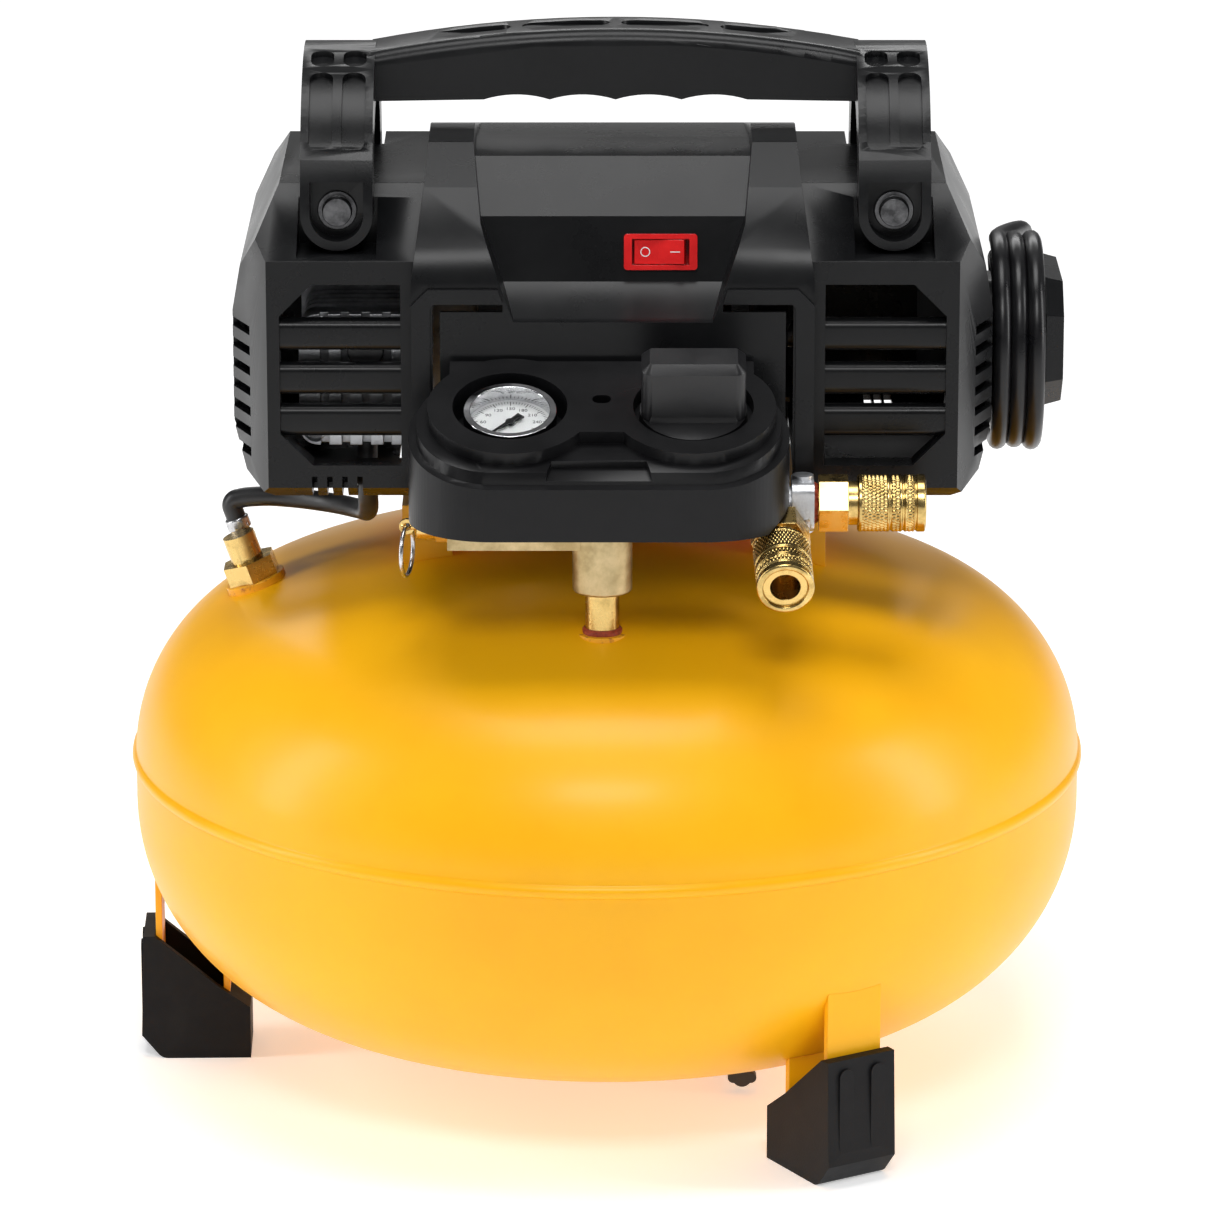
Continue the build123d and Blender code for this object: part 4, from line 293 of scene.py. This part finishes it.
blackSteel = {"darkTone": (0.05, 0.05, 0.052), "lightTone": (0.16, 0.16, 0.165), "patchScale": 180,
              "roughness": (0.28, 0.42), "grainScale": 1300, "grainStrength": 0.2, "grainHeight": 0.06,
              "metallic": 1}
rockerRed = {"darkTone": (0.66, 0.008, 0.010), "lightTone": (0.80, 0.014, 0.014), "patchScale": 60,
             "roughness": (0.20, 0.27), "grainScale": 1500, "grainStrength": 0.08, "grainHeight": 0.03,
             "coat": 0.2}
steelSheets = {"darkTone": (0.22, 0.22, 0.23), "lightTone": (0.46, 0.46, 0.48), "patchScale": 60,
               "roughness": (0.3, 0.5), "grainScale": 600, "grainStrength": 0.6, "grainHeight": 0.2,
               "metallic": 1, "stretch": (8, 0.4, 0.4)}
windingCopper = {"darkTone": (0.30, 0.08, 0.02), "lightTone": (0.62, 0.25, 0.09), "patchScale": 300,
                 "roughness": (0.25, 0.4), "grainScale": 700, "grainStrength": 0.8, "grainHeight": 0.4,
                 "metallic": 0.7, "stretch": (0.3, 1, 1)}
fanPlastic = {"darkTone": (0.02, 0.02, 0.022), "lightTone": (0.035, 0.035, 0.037), "patchScale": 50,
              "roughness": (0.4, 0.55), "grainScale": 1200, "grainStrength": 0.3, "grainHeight": 0.08}
mountRubber = {"darkTone": (0.014, 0.014, 0.014), "lightTone": (0.025, 0.025, 0.025), "patchScale": 60,
               "roughness": (0.6, 0.75), "grainScale": 1200, "grainStrength": 0.4, "grainHeight": 0.1}
rodAluminium = {"darkTone": (0.58, 0.59, 0.60), "lightTone": (0.76, 0.77, 0.78), "patchScale": 70,
                "roughness": (0.25, 0.38), "grainScale": 1100, "grainStrength": 0.2, "grainHeight": 0.06,
                "metallic": 1}
cordJacket = {"darkTone": (0.005, 0.005, 0.006), "lightTone": (0.010, 0.010, 0.011), "patchScale": 70,
              "roughness": (0.26, 0.36), "grainScale": 1300, "grainStrength": 0.2, "grainHeight": 0.06,
              "specular": 0.35}
plugRubber = {"darkTone": (0.010, 0.010, 0.011), "lightTone": (0.018, 0.018, 0.019), "patchScale": 60,
              "roughness": (0.42, 0.55), "grainScale": 1300, "grainStrength": 0.35, "grainHeight": 0.1}
markPaint = {"darkTone": (0.80, 0.80, 0.80), "lightTone": (0.90, 0.90, 0.90), "patchScale": 200,
             "roughness": (0.4, 0.5), "grainScale": 1500, "grainStrength": 0.1, "grainHeight": 0.02}


def clearLens(name, look):
    # a clear skin with faint smears, so that the dial shows through
    material, nodes, links, shader = nodeSet(name)
    shader.inputs["Base Color"].default_value = (*look["tint"], 1)
    shader.inputs["Roughness"].default_value = look["roughness"]
    shader.inputs["Transmission Weight"].default_value = 1.0
    shader.inputs["IOR"].default_value = look["bend"]
    smear = nodes.new("ShaderNodeTexNoise")
    smear.inputs["Scale"].default_value = look["smearScale"]
    where = nodes.new("ShaderNodeTexCoord")
    links.new(where.outputs["Object"], smear.inputs["Vector"])
    height = nodes.new("ShaderNodeBump")
    height.inputs["Strength"].default_value = look["smearStrength"]
    height.inputs["Distance"].default_value = look["smearHeight"] * mm
    links.new(smear.outputs["Fac"], height.inputs["Height"])
    links.new(height.outputs["Normal"], shader.inputs["Normal"])
    return material


gaugeLens = {"tint": (0.97, 0.98, 0.99), "roughness": 0.02, "bend": 1.08, "smearScale": 60,
             "smearStrength": 0.02, "smearHeight": 0.02}
finishes = {
    "tank_paint": mottled("tankPaint", tankPaint),
    "bung_steel": mottled("bungPaint", bungPaint),
    "boot_rubber": mottled("bootRubber", bootRubber),
    "brass": mottled("turnedBrass", turnedBrass),
    "brass_knurled": mottled("knurlBrass", knurlBrass),
    "cast_brass": mottled("dullBrass", dullBrass),
    "sealant": mottled("sealantPaste", sealantPaste),
    "crimp_steel": mottled("crimpSteel", crimpSteel),
    "hose_rubber": mottled("hoseRubber", hoseRubber),
    "cast_aluminium": mottled("castAluminium", castAluminium),
    "console_plastic": mottled("consolePlastic", consolePlastic),
    "knob_plastic": mottled("knobPlastic", knobPlastic),
    "gauge_case_steel": mottled("caseEnamel", caseEnamel),
    "gauge_chrome": mottled("bezelChrome", bezelChrome),
    "dial_white": mottled("dialCard", dialCard),
    "lens_clear": clearLens("gaugeLens", gaugeLens),
    "needle_black": mottled("needleEnamel", needleEnamel),
    "shroud_plastic": mottled("shroudPlastic", shroudPlastic),
    "handle_plastic": mottled("handlePlastic", handlePlastic),
    "fastener_steel": mottled("blackSteel", blackSteel),
    "switch_red": mottled("rockerRed", rockerRed),
    "lamination_steel": mottled("steelSheets", steelSheets),
    "copper_winding": mottled("windingCopper", windingCopper),
    "fan_plastic": mottled("fanPlastic", fanPlastic),
    "mount_rubber": mottled("mountRubber", mountRubber),
    "piston_aluminium": mottled("rodAluminium", rodAluminium),
    "cord_rubber": mottled("cordJacket", cordJacket),
    "plug_rubber": mottled("plugRubber", plugRubber),
}
whiteMark = mottled("markPaint", markPaint)
print("finishes made")

cordCurve.materials.append(finishes["cord_rubber"])
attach(cord, "tank")
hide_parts("cord_lead", "cord_coil", "cord_tail")


# tank: two dished heads with a rolled seam between them
tank = {"radius": 210.5, "seam": 142.5, "skirt": 20.0, "upperKnuckle": 78.0, "upperCrown": 463.0,
        "lowerKnuckle": 92.0, "lowerCrown": 446.0, "bead": 1.7, "beadHalf": 3.0, "beadPower": 0.8,
        "beadSteps": 13, "crownSteps": 34, "knuckleSteps": 30, "steps": 256, "poleRadius": 0.02,
        "sharpAngle": 40, "ripple": 0.12, "rippleCounts": (41, 17), "rippleStart": 0.6}


def headProfile(c, rim, knuckle, crown, way):
    # a crown arc from the axis, then a knuckle arc down to the rim, as (radius, height) rows
    drop = math.sqrt((crown - knuckle) ** 2 - (c["radius"] - knuckle) ** 2)
    meet = math.asin((c["radius"] - knuckle) / (crown - knuckle))
    a = np.linspace(0.0, meet, c["crownSteps"])
    b = np.linspace(math.pi / 2 - meet, 0, c["knuckleSteps"])
    crownArc = np.stack([crown * np.sin(a), rim - way * drop + way * crown * np.cos(a)], axis=1)
    knuckleRadius = c["radius"] - knuckle + knuckle * np.cos(b)
    knuckleArc = np.stack([knuckleRadius, rim + way * knuckle * np.sin(b)], axis=1)
    return np.concatenate([crownArc, knuckleArc[1:]])


def tankSkin(c):
    # upper head, then the rolled bead, radius + bead cos(s pi / 2)^beadPower, then the lower head, rim first
    top = headProfile(c, c["seam"], c["upperKnuckle"], c["upperCrown"], 1)
    low = headProfile(c, c["seam"] - c["skirt"], c["lowerKnuckle"], c["lowerCrown"], -1)
    s = np.linspace(-1, 1, c["beadSteps"])[1:-1]
    beadRadius = c["radius"] + c["bead"] * np.cos(s * math.pi / 2) ** c["beadPower"]
    bead = np.stack([beadRadius, c["seam"] - s * c["beadHalf"]], axis=1)
    edgeUp = [[c["radius"], c["seam"] + c["beadHalf"]]]
    edgeDown = [[c["radius"], c["seam"] - c["beadHalf"]]]
    return np.concatenate([top[:-1], edgeUp, bead, edgeDown, low[::-1]])


def seamRipple(a, h):
    # a slow waver of the rolled seam, the mean of two sines round it, only within its height
    near = np.clip(1 - np.abs(h - tank["seam"] * mm) / (tank["beadHalf"] * mm), 0, 1)
    fast, slow = tank["rippleCounts"]
    wave = np.sin(fast * a + tank["rippleStart"]) * 0.5 + np.sin(slow * a) * 0.5
    return near * tank["ripple"] * mm * wave


outside = tankSkin(tank) * mm
outside[0, 0] = outside[-1, 0] = tank["poleRadius"] * mm
outsideGrid = turned(outside[:, 0], outside[:, 1], tank["steps"], seamRipple)
outsideMesh = surfaceMesh("tankShell", outsideGrid, capStart=True, capEnd=True)
smoothed(outsideMesh, tank["sharpAngle"])
piece("tankShell", outsideMesh, "tank", finishes["tank_paint"],
      ("tank_upper_head", "tank_lower_head"))
print("tank made")


# knurled coupler sleeves
sleeve = {"radius": 12.25, "bore": 9.45, "start": 18.5, "length": 29.0, "pitch": 1.7, "depth": 0.46,
          "steps": 270, "rows": 233, "bands": ((1.6, 12.6), (14.4, 18.0), (20.6, 23.8)), "bandEdge": 0.3,
          "grooves": (15.0, 9.6, 4.4), "grooveHalf": 0.55, "grooveDepth": 0.55, "lip": 0.9, "lead": 0.8,
          "frontWall": 1.6, "boreEdge": 0.5, "sharpAngle": 50}
dip, yaw = math.radians(19.0), math.radians(2.3)
frontWay = (math.sin(yaw) * math.cos(dip), -math.cos(yaw) * math.cos(dip), -math.sin(dip))
couplers = {
    "side": {"start": (88.0, -115.5, 285.6), "way": (1, 0, 0)},
    "front": {"start": (73.0, -125.6, 278.5), "way": frontWay},
}
knurlStart = (0.2, 0.3, 1)


def ringOnPort(name, grid, port, sharpAngle):
    # a closed ring of revolution, laid along the port's axis from the port's start
    flat = placed(grid.reshape(-1, 3) * mm, np.array(port["start"]) * mm, knurlStart, port["way"])
    mesh = surfaceMesh(name, flat.reshape(grid.shape), wrapV=True)
    smoothed(mesh, sharpAngle)
    return mesh


def sleeveGrid(c):
    # outer wall with crossed cuts inside each band, depth (1 - |sin(k a + q h)| |sin(k a - q h)|), where k is
    # pi radius / pitch, rounded, and q = pi / (2 pitch); a groove is grooveDepth exp(-((h - place) / half)^4)
    h = np.linspace(0, c["length"], c["rows"])
    r = np.full_like(h, c["radius"])
    groove = np.zeros_like(h)
    for inset in c["grooves"]:
        place = c["length"] - inset
        groove = np.maximum(groove, np.exp(-((h - place) / c["grooveHalf"]) ** 4))
    r = r - c["grooveDepth"] * groove
    lip = np.clip((h - (c["length"] - c["lip"])) / c["lip"], 0, 1)
    r = r - c["lip"] * lip ** 2
    lead = np.clip((c["lead"] - h) / c["lead"], 0, 1)
    r = r - c["lead"] * lead ** 2
    a = np.linspace(0, 2 * math.pi, c["steps"], endpoint=False)
    across = a[None, :] * round(2 * math.pi * c["radius"] / (c["pitch"] * 2))
    along = h[:, None] * (math.pi / c["pitch"])
    cut = 1 - np.abs(np.sin(across + along / 2)) * np.abs(np.sin(across - along / 2))
    inBand = np.zeros_like(h)
    for low, high in c["bands"]:
        rise = np.clip((h - low) / c["bandEdge"], 0, 1)
        fall = np.clip((high - h) / c["bandEdge"], 0, 1)
        inBand = np.maximum(inBand, rise * fall)
    radius = r[:, None] - c["depth"] * cut * inBand[:, None]
    outer = np.stack([radius * np.cos(a), radius * np.sin(a), np.repeat(h[:, None], len(a), axis=1)], axis=2)
    frontRadii = [c["radius"] - c["frontWall"], c["bore"] + c["boreEdge"], c["bore"]]
    front = turned(frontRadii, [c["length"], c["length"], c["length"] - c["boreEdge"]], c["steps"])
    back = turned([c["bore"]], [0.0], c["steps"])
    return np.concatenate([outer, front, back])


for side, port in couplers.items():
    grid = sleeveGrid(sleeve)
    grid[..., 2] += sleeve["start"]
    mesh = ringOnPort("couplerSleeve" + side.title(), grid, port, sleeve["sharpAngle"])
    piece("couplerSleeve" + side.title(), mesh, "coupler_sleeve_" + side,
          finishes["brass_knurled"], ("coupler_sleeve_" + side,))
print("coupler sleeves made")


# thread sealant squeezed out where each coupler meets the tee
sealantRing = {"radius": 8.0, "swell": 0.8, "from": -1.4, "to": 1.7, "rows": 9, "steps": 96, "ragged": 0.35,
               "wall": 2.0, "sharpAngle": 60}


def sealantGrid(c):
    # r = radius + swell sin(pi s) + ragged times the mean of three sines, for s from 0 to 1 along the joint
    s = np.linspace(0, 1, c["rows"])
    r = c["radius"] + c["swell"] * np.sin(math.pi * s)
    h = c["from"] + (c["to"] - c["from"]) * s

    def raggedEdge(a, z):
        return c["ragged"] * (np.sin(7 * a + 1.3 * z) + np.sin(13 * a - 2.1 * z) + np.sin(23 * a + z)) / 3

    outer = turned(r, h, c["steps"], raggedEdge)
    innerRadius = c["radius"] - c["wall"]
    inner = turned([innerRadius, innerRadius], [c["to"], c["from"]], c["steps"])
    return np.concatenate([outer, inner])


for side, port in couplers.items():
    mesh = ringOnPort("sealantRing" + side.title(), sealantGrid(sealantRing), port, sealantRing["sharpAngle"])
    piece("sealantRing" + side.title(), mesh, "tank", finishes["sealant"])
print("sealant squeezed out")


# gauge dial print: a tick at every five, and a long tick and a number at every thirty
dialPrint = {"tickOuter": 16.6, "longTick": 2.6, "shortTick": 1.4, "longHalf": 0.16, "shortHalf": 0.09,
             "numberRing": 11.6, "numberSize": 2.7, "lift": 0.06, "full": 300, "step": 5, "numberStep": 30,
             "zeroAngle": 225, "sweep": 270}
console = {"lean": 20.5, "gaugeAt": (-41.0, -126.0, 331.0), "dialDepth": 10.0}
lean = math.radians(console["lean"])
consoleUp = np.array([0, -math.sin(lean), math.cos(lean)])
consoleAcross = np.array([0, math.cos(lean), math.sin(lean)])
gaugeCentre = np.array(console["gaugeAt"]) - consoleUp * console["dialDepth"]


def dialPoint(x, y, z):
    return (gaugeCentre + np.outer(x, [1, 0, 0]) + np.outer(y, consoleAcross) + np.outer(z, consoleUp)) * mm


def tickBars(c):
    # each tick is a thin bar from tickOuter inwards, turned to its reading
    readings = np.arange(0, c["full"] + 1, c["step"])
    angle = np.radians(c["zeroAngle"] - c["sweep"] * readings / c["full"])
    numbered = readings % c["numberStep"] == 0
    inner = c["tickOuter"] - np.where(numbered, c["longTick"], c["shortTick"])
    half = np.where(numbered, c["longHalf"], c["shortHalf"])
    corner = np.array([[0, -1, 0], [1, -1, 0], [1, 1, 0], [0, 1, 0],
                       [0, -1, 1], [1, -1, 1], [1, 1, 1], [0, 1, 1]])
    r = inner[:, None] + (c["tickOuter"] - inner)[:, None] * corner[None, :, 0]
    w = half[:, None] * corner[None, :, 1]
    z = np.broadcast_to(c["lift"] * corner[None, :, 2], r.shape)
    x = r * np.cos(angle)[:, None] - w * np.sin(angle)[:, None]
    y = r * np.sin(angle)[:, None] + w * np.cos(angle)[:, None]
    box = np.array([[0, 3, 2, 1], [4, 5, 6, 7], [0, 1, 5, 4], [1, 2, 6, 5], [2, 3, 7, 6], [3, 0, 4, 7]])
    faces = (box[None] + 8 * np.arange(len(readings))[:, None, None]).reshape(-1, 4)
    return dialPoint(x.ravel(), y.ravel(), z.ravel()), faces


def numberMeshes(c):
    work = bmesh.new()
    for reading in range(0, c["full"] + 1, c["numberStep"]):
        font = bpy.data.curves.new("reading", "FONT")
        font.body = str(reading)
        font.size = c["numberSize"]
        font.align_x = "CENTER"
        font.align_y = "CENTER"
        font.extrude = c["lift"] / 2
        holder = bpy.data.objects.new("reading", font)
        scene.collection.objects.link(holder)
        bpy.context.view_layer.update()
        mesh = bpy.data.meshes.new_from_object(holder.evaluated_get(bpy.context.evaluated_depsgraph_get()))
        angle = math.radians(c["zeroAngle"] - c["sweep"] * reading / c["full"])
        co = np.zeros(len(mesh.vertices) * 3)
        mesh.vertices.foreach_get("co", co)
        co = co.reshape(-1, 3)
        x = co[:, 0] + c["numberRing"] * math.cos(angle)
        y = co[:, 1] + c["numberRing"] * math.sin(angle)
        spot = dialPoint(x, y, co[:, 2] + c["lift"] / 2)
        mesh.vertices.foreach_set("co", spot.ravel())
        work.from_mesh(mesh)
        bpy.data.objects.remove(holder)
        bpy.data.meshes.remove(mesh)
        bpy.data.curves.remove(font)
    return work


tickVerts, tickFaces = tickBars(dialPrint)
dialMesh = bpy.data.meshes.new("dialPrint")
dialMesh.from_pydata(tickVerts, [], tickFaces.tolist())
printed = numberMeshes(dialPrint)
printed.from_mesh(dialMesh)
bmesh.ops.remove_doubles(printed, verts=printed.verts, dist=1e-7)
bmesh.ops.recalc_face_normals(printed, faces=printed.faces)
printed.to_mesh(dialMesh)
printed.free()
piece("dialPrint", dialMesh, "tank", finishes["needle_black"])
print("dial printed")


# CAD shapes kept, with softened edges
softEdges = {
    "console_housing": 0.9, "shroud_front": 0.9, "shroud_rear": 0.9, "handle": 1.1, "regulator_knob": 0.7,
    "foot_boots": 1.2, "switch_bezel": 0.5, "rocker": 0.5, "cord_wrap": 1.2, "plug": 0.8,
    "strain_relief": 0.5, "manifold": 0.5, "outlet_tee": 0.6, "regulator_bonnet": 0.4,
    "coupler_body_side": 0.5, "coupler_body_front": 0.5, "check_valve": 0.4, "relief_valve_body": 0.3,
    "relief_pull": 0.2, "outlet_nipple": 0.3, "hose_crimp": 0.3, "gauge_bezel": 0.4, "leg_straps": 0.6,
    "pump_saddle": 0.5, "handle_bolts": 0.4, "drain_cock": 0.3, "drain_wing": 0.5, "weld_bungs": 0.5,
    "cylinder_head": 0.6, "crankcase": 0.6, "cylinder": 0.3, "motor_bracket": 0.5, "intake_filter": 0.4,
    "cooling_fan": 0.3, "pressure_switch": 0.6, "piston_rod": 0.4, "crank_disc": 0.3, "motor_stator": 0.3,
    "gauge_case": 0.3, "thread_sealant": 0.4,
}
softening = {"weld": 2e-6, "flatAngle": 0.4, "sharpAngle": 28, "bevelAngle": 34, "segments": 2}


def camel(name):
    first, *rest = name.split("_")
    return first + "".join(word.title() for word in rest)


def softened(node, width):
    # the node's triangles merged, flat areas joined, and its sharp edges rounded over the width given
    source = frame["nodes"][node]
    mesh = source.data.copy()
    work = bmesh.new()
    work.from_mesh(mesh)
    bmesh.ops.remove_doubles(work, verts=work.verts, dist=softening["weld"])
    bmesh.ops.dissolve_limit(work, angle_limit=math.radians(softening["flatAngle"]), verts=work.verts,
                             edges=work.edges)
    bmesh.ops.recalc_face_normals(work, faces=work.faces)
    work.to_mesh(mesh)
    work.free()
    smoothed(mesh, softening["sharpAngle"])
    slotName = slotOf[node]
    made = piece(camel("soft_" + node), mesh, source["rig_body"], finishes[slotName], (node,))
    edge = made.modifiers.new("softEdge", "BEVEL")
    edge.width = width * mm
    edge.segments = softening["segments"]
    edge.limit_method = "ANGLE"
    edge.angle_limit = math.radians(softening["bevelAngle"])
    edge.harden_normals = True
    edge.use_clamp_overlap = True
    return made


dressed = {node: softened(node, width) for node, width in softEdges.items()}
for node, source in frame["nodes"].items():
    if source.hide_render:
        continue
    source.data.materials.clear()
    source.data.materials.append(finishes[slotOf[node]])
print("CAD shapes dressed")


# white marks on the rocker
rockerMarks = {"circle": 1.9, "stroke": 0.42, "leftAt": -6.6, "rightAt": 6.2, "barLength": 4.2, "lift": 0.05,
               "ringSteps": 40, "barSteps": 12, "dropFrom": 20}
switchFace = {"x": 23.0, "z": 383.5, "footY": -68, "footZ": 371, "run": 5.5, "rise": 27.5}
switchLean = math.atan2(switchFace["run"], switchFace["rise"])
switchOut = Vector((0, -math.cos(switchLean), math.sin(switchLean)))
switchUp = Vector((0, math.sin(switchLean), math.cos(switchLean)))
switchDepth = (switchFace["z"] - switchFace["footZ"]) * switchFace["run"] / switchFace["rise"]
switchCentre = Vector((switchFace["x"], switchFace["footY"] + switchDepth, switchFace["z"]))


def onRocker(tree, x, y, lift):
    start = (switchCentre + Vector((x, 0, 0)) + switchUp * y + switchOut * rockerMarks["dropFrom"]) * mm
    spot, _, _, _ = tree.ray_cast(start, -switchOut)
    return spot + switchOut * lift * mm


def markGrid(c, tree, kind):
    # a ring or a bar as a grid of (along, across) points dropped on to the rocker's face, with a thin wall
    if kind == "ring":
        a = np.linspace(0, 2 * math.pi, c["ringSteps"], endpoint=False)
        rims = [c["circle"] - c["stroke"] / 2, c["circle"] + c["stroke"] / 2]
        flat = [[(c["leftAt"] + r * math.cos(t), r * math.sin(t)) for t in a] for r in rims]
    else:
        xs = np.linspace(c["rightAt"] - c["barLength"] / 2, c["rightAt"] + c["barLength"] / 2, c["barSteps"])
        flat = [[(x, y) for x in xs] for y in (-c["stroke"] / 2, c["stroke"] / 2)]
    top = [[onRocker(tree, x, y, c["lift"]) for x, y in row] for row in flat]
    low = [[onRocker(tree, x, y, -c["lift"]) for x, y in row] for row in flat]
    return np.array([top[0], top[1], low[1], low[0]])


rockerSource = frame["nodes"]["rocker"].data
rockerVerts = [vertex.co.copy() for vertex in rockerSource.vertices]
rockerFaces = [tuple(face.vertices) for face in rockerSource.polygons]
rockerTree = BVHTree.FromPolygons(rockerVerts, rockerFaces)
ringMesh = surfaceMesh("rockerRing", markGrid(rockerMarks, rockerTree, "ring"), wrapU=True, wrapV=True)
piece("rockerRing", ringMesh, "rocker", whiteMark)
barGrid = markGrid(rockerMarks, rockerTree, "bar").transpose(1, 0, 2)
barMesh = surfaceMesh("rockerBar", barGrid, wrapU=True, capStart=True, capEnd=True)
piece("rockerBar", barMesh, "rocker", whiteMark)
print("rocker marked")


# floor, sky and lamps
studio = {"floorTone": (0.94, 0.94, 0.94), "floorGlow": 0.38, "floorRoughness": 0.9, "floorSpecular": 0.1,
          "floorSide": 9, "floorFront": -7, "floorBack": 14, "sky": (1.0, 1.0, 1.0), "skyPower": 0.14}
floorMesh = bpy.data.meshes.new("studioFloor")
floorEnds = [(-studio["floorSide"], studio["floorFront"], 0), (studio["floorSide"], studio["floorFront"], 0),
             (studio["floorSide"], studio["floorBack"], 0), (-studio["floorSide"], studio["floorBack"], 0)]
floorMesh.from_pydata(floorEnds, [], [(0, 1, 2, 3)])
floor = bpy.data.objects.new("studioFloor", floorMesh)
floorMaterial, _, _, floorShader = nodeSet("paleFloor")
floorShader.inputs["Base Color"].default_value = (*studio["floorTone"], 1)
floorShader.inputs["Roughness"].default_value = studio["floorRoughness"]
floorShader.inputs["Specular IOR Level"].default_value = studio["floorSpecular"]
floorShader.inputs["Emission Color"].default_value = (1, 1, 1, 1)
floorShader.inputs["Emission Strength"].default_value = studio["floorGlow"]
floorMesh.materials.append(floorMaterial)
scene.collection.objects.link(floor)

world = bpy.data.worlds.new("studioSky")
world.use_nodes = True
world.node_tree.nodes["Background"].inputs["Color"].default_value = (*studio["sky"], 1)
world.node_tree.nodes["Background"].inputs["Strength"].default_value = studio["skyPower"]
scene.world = world

lamps = {
    "topLamp": {"place": (0.0, -0.2, 2.3), "aim": (0, 0, 0.2), "size": (1.3, 0.9), "power": 23},
    "frontLamp": {"place": (0.0, -2.6, 2.6), "aim": (0, 0, 0.25), "size": (1.2, 0.7), "power": 38},
    "leftLamp": {"place": (-2.0, -0.3, 0.9), "aim": (0, 0, 0.3), "size": (0.4, 1.5), "power": 16},
    "rightLamp": {"place": (2.0, -0.3, 0.9), "aim": (0, 0, 0.3), "size": (0.4, 1.5), "power": 16},
    "backLamp": {"place": (0.0, 3.4, 2.4), "aim": (0, 1.6, 0.0), "size": (3.0, 1.0), "power": 40},
}
for name, lamp in lamps.items():
    light = bpy.data.lights.new(name, "AREA")
    light.shape = "RECTANGLE"
    light.size, light.size_y = lamp["size"]
    light.energy = lamp["power"]
    holder = bpy.data.objects.new(name, light)
    holder.location = lamp["place"]
    holder.rotation_euler = (Vector(lamp["aim"]) - Vector(lamp["place"])).to_track_quat("-Z", "Y").to_euler()
    scene.collection.objects.link(holder)
scene.view_settings.view_transform = "Standard"
scene.view_settings.look = "None"
print("studio lit")
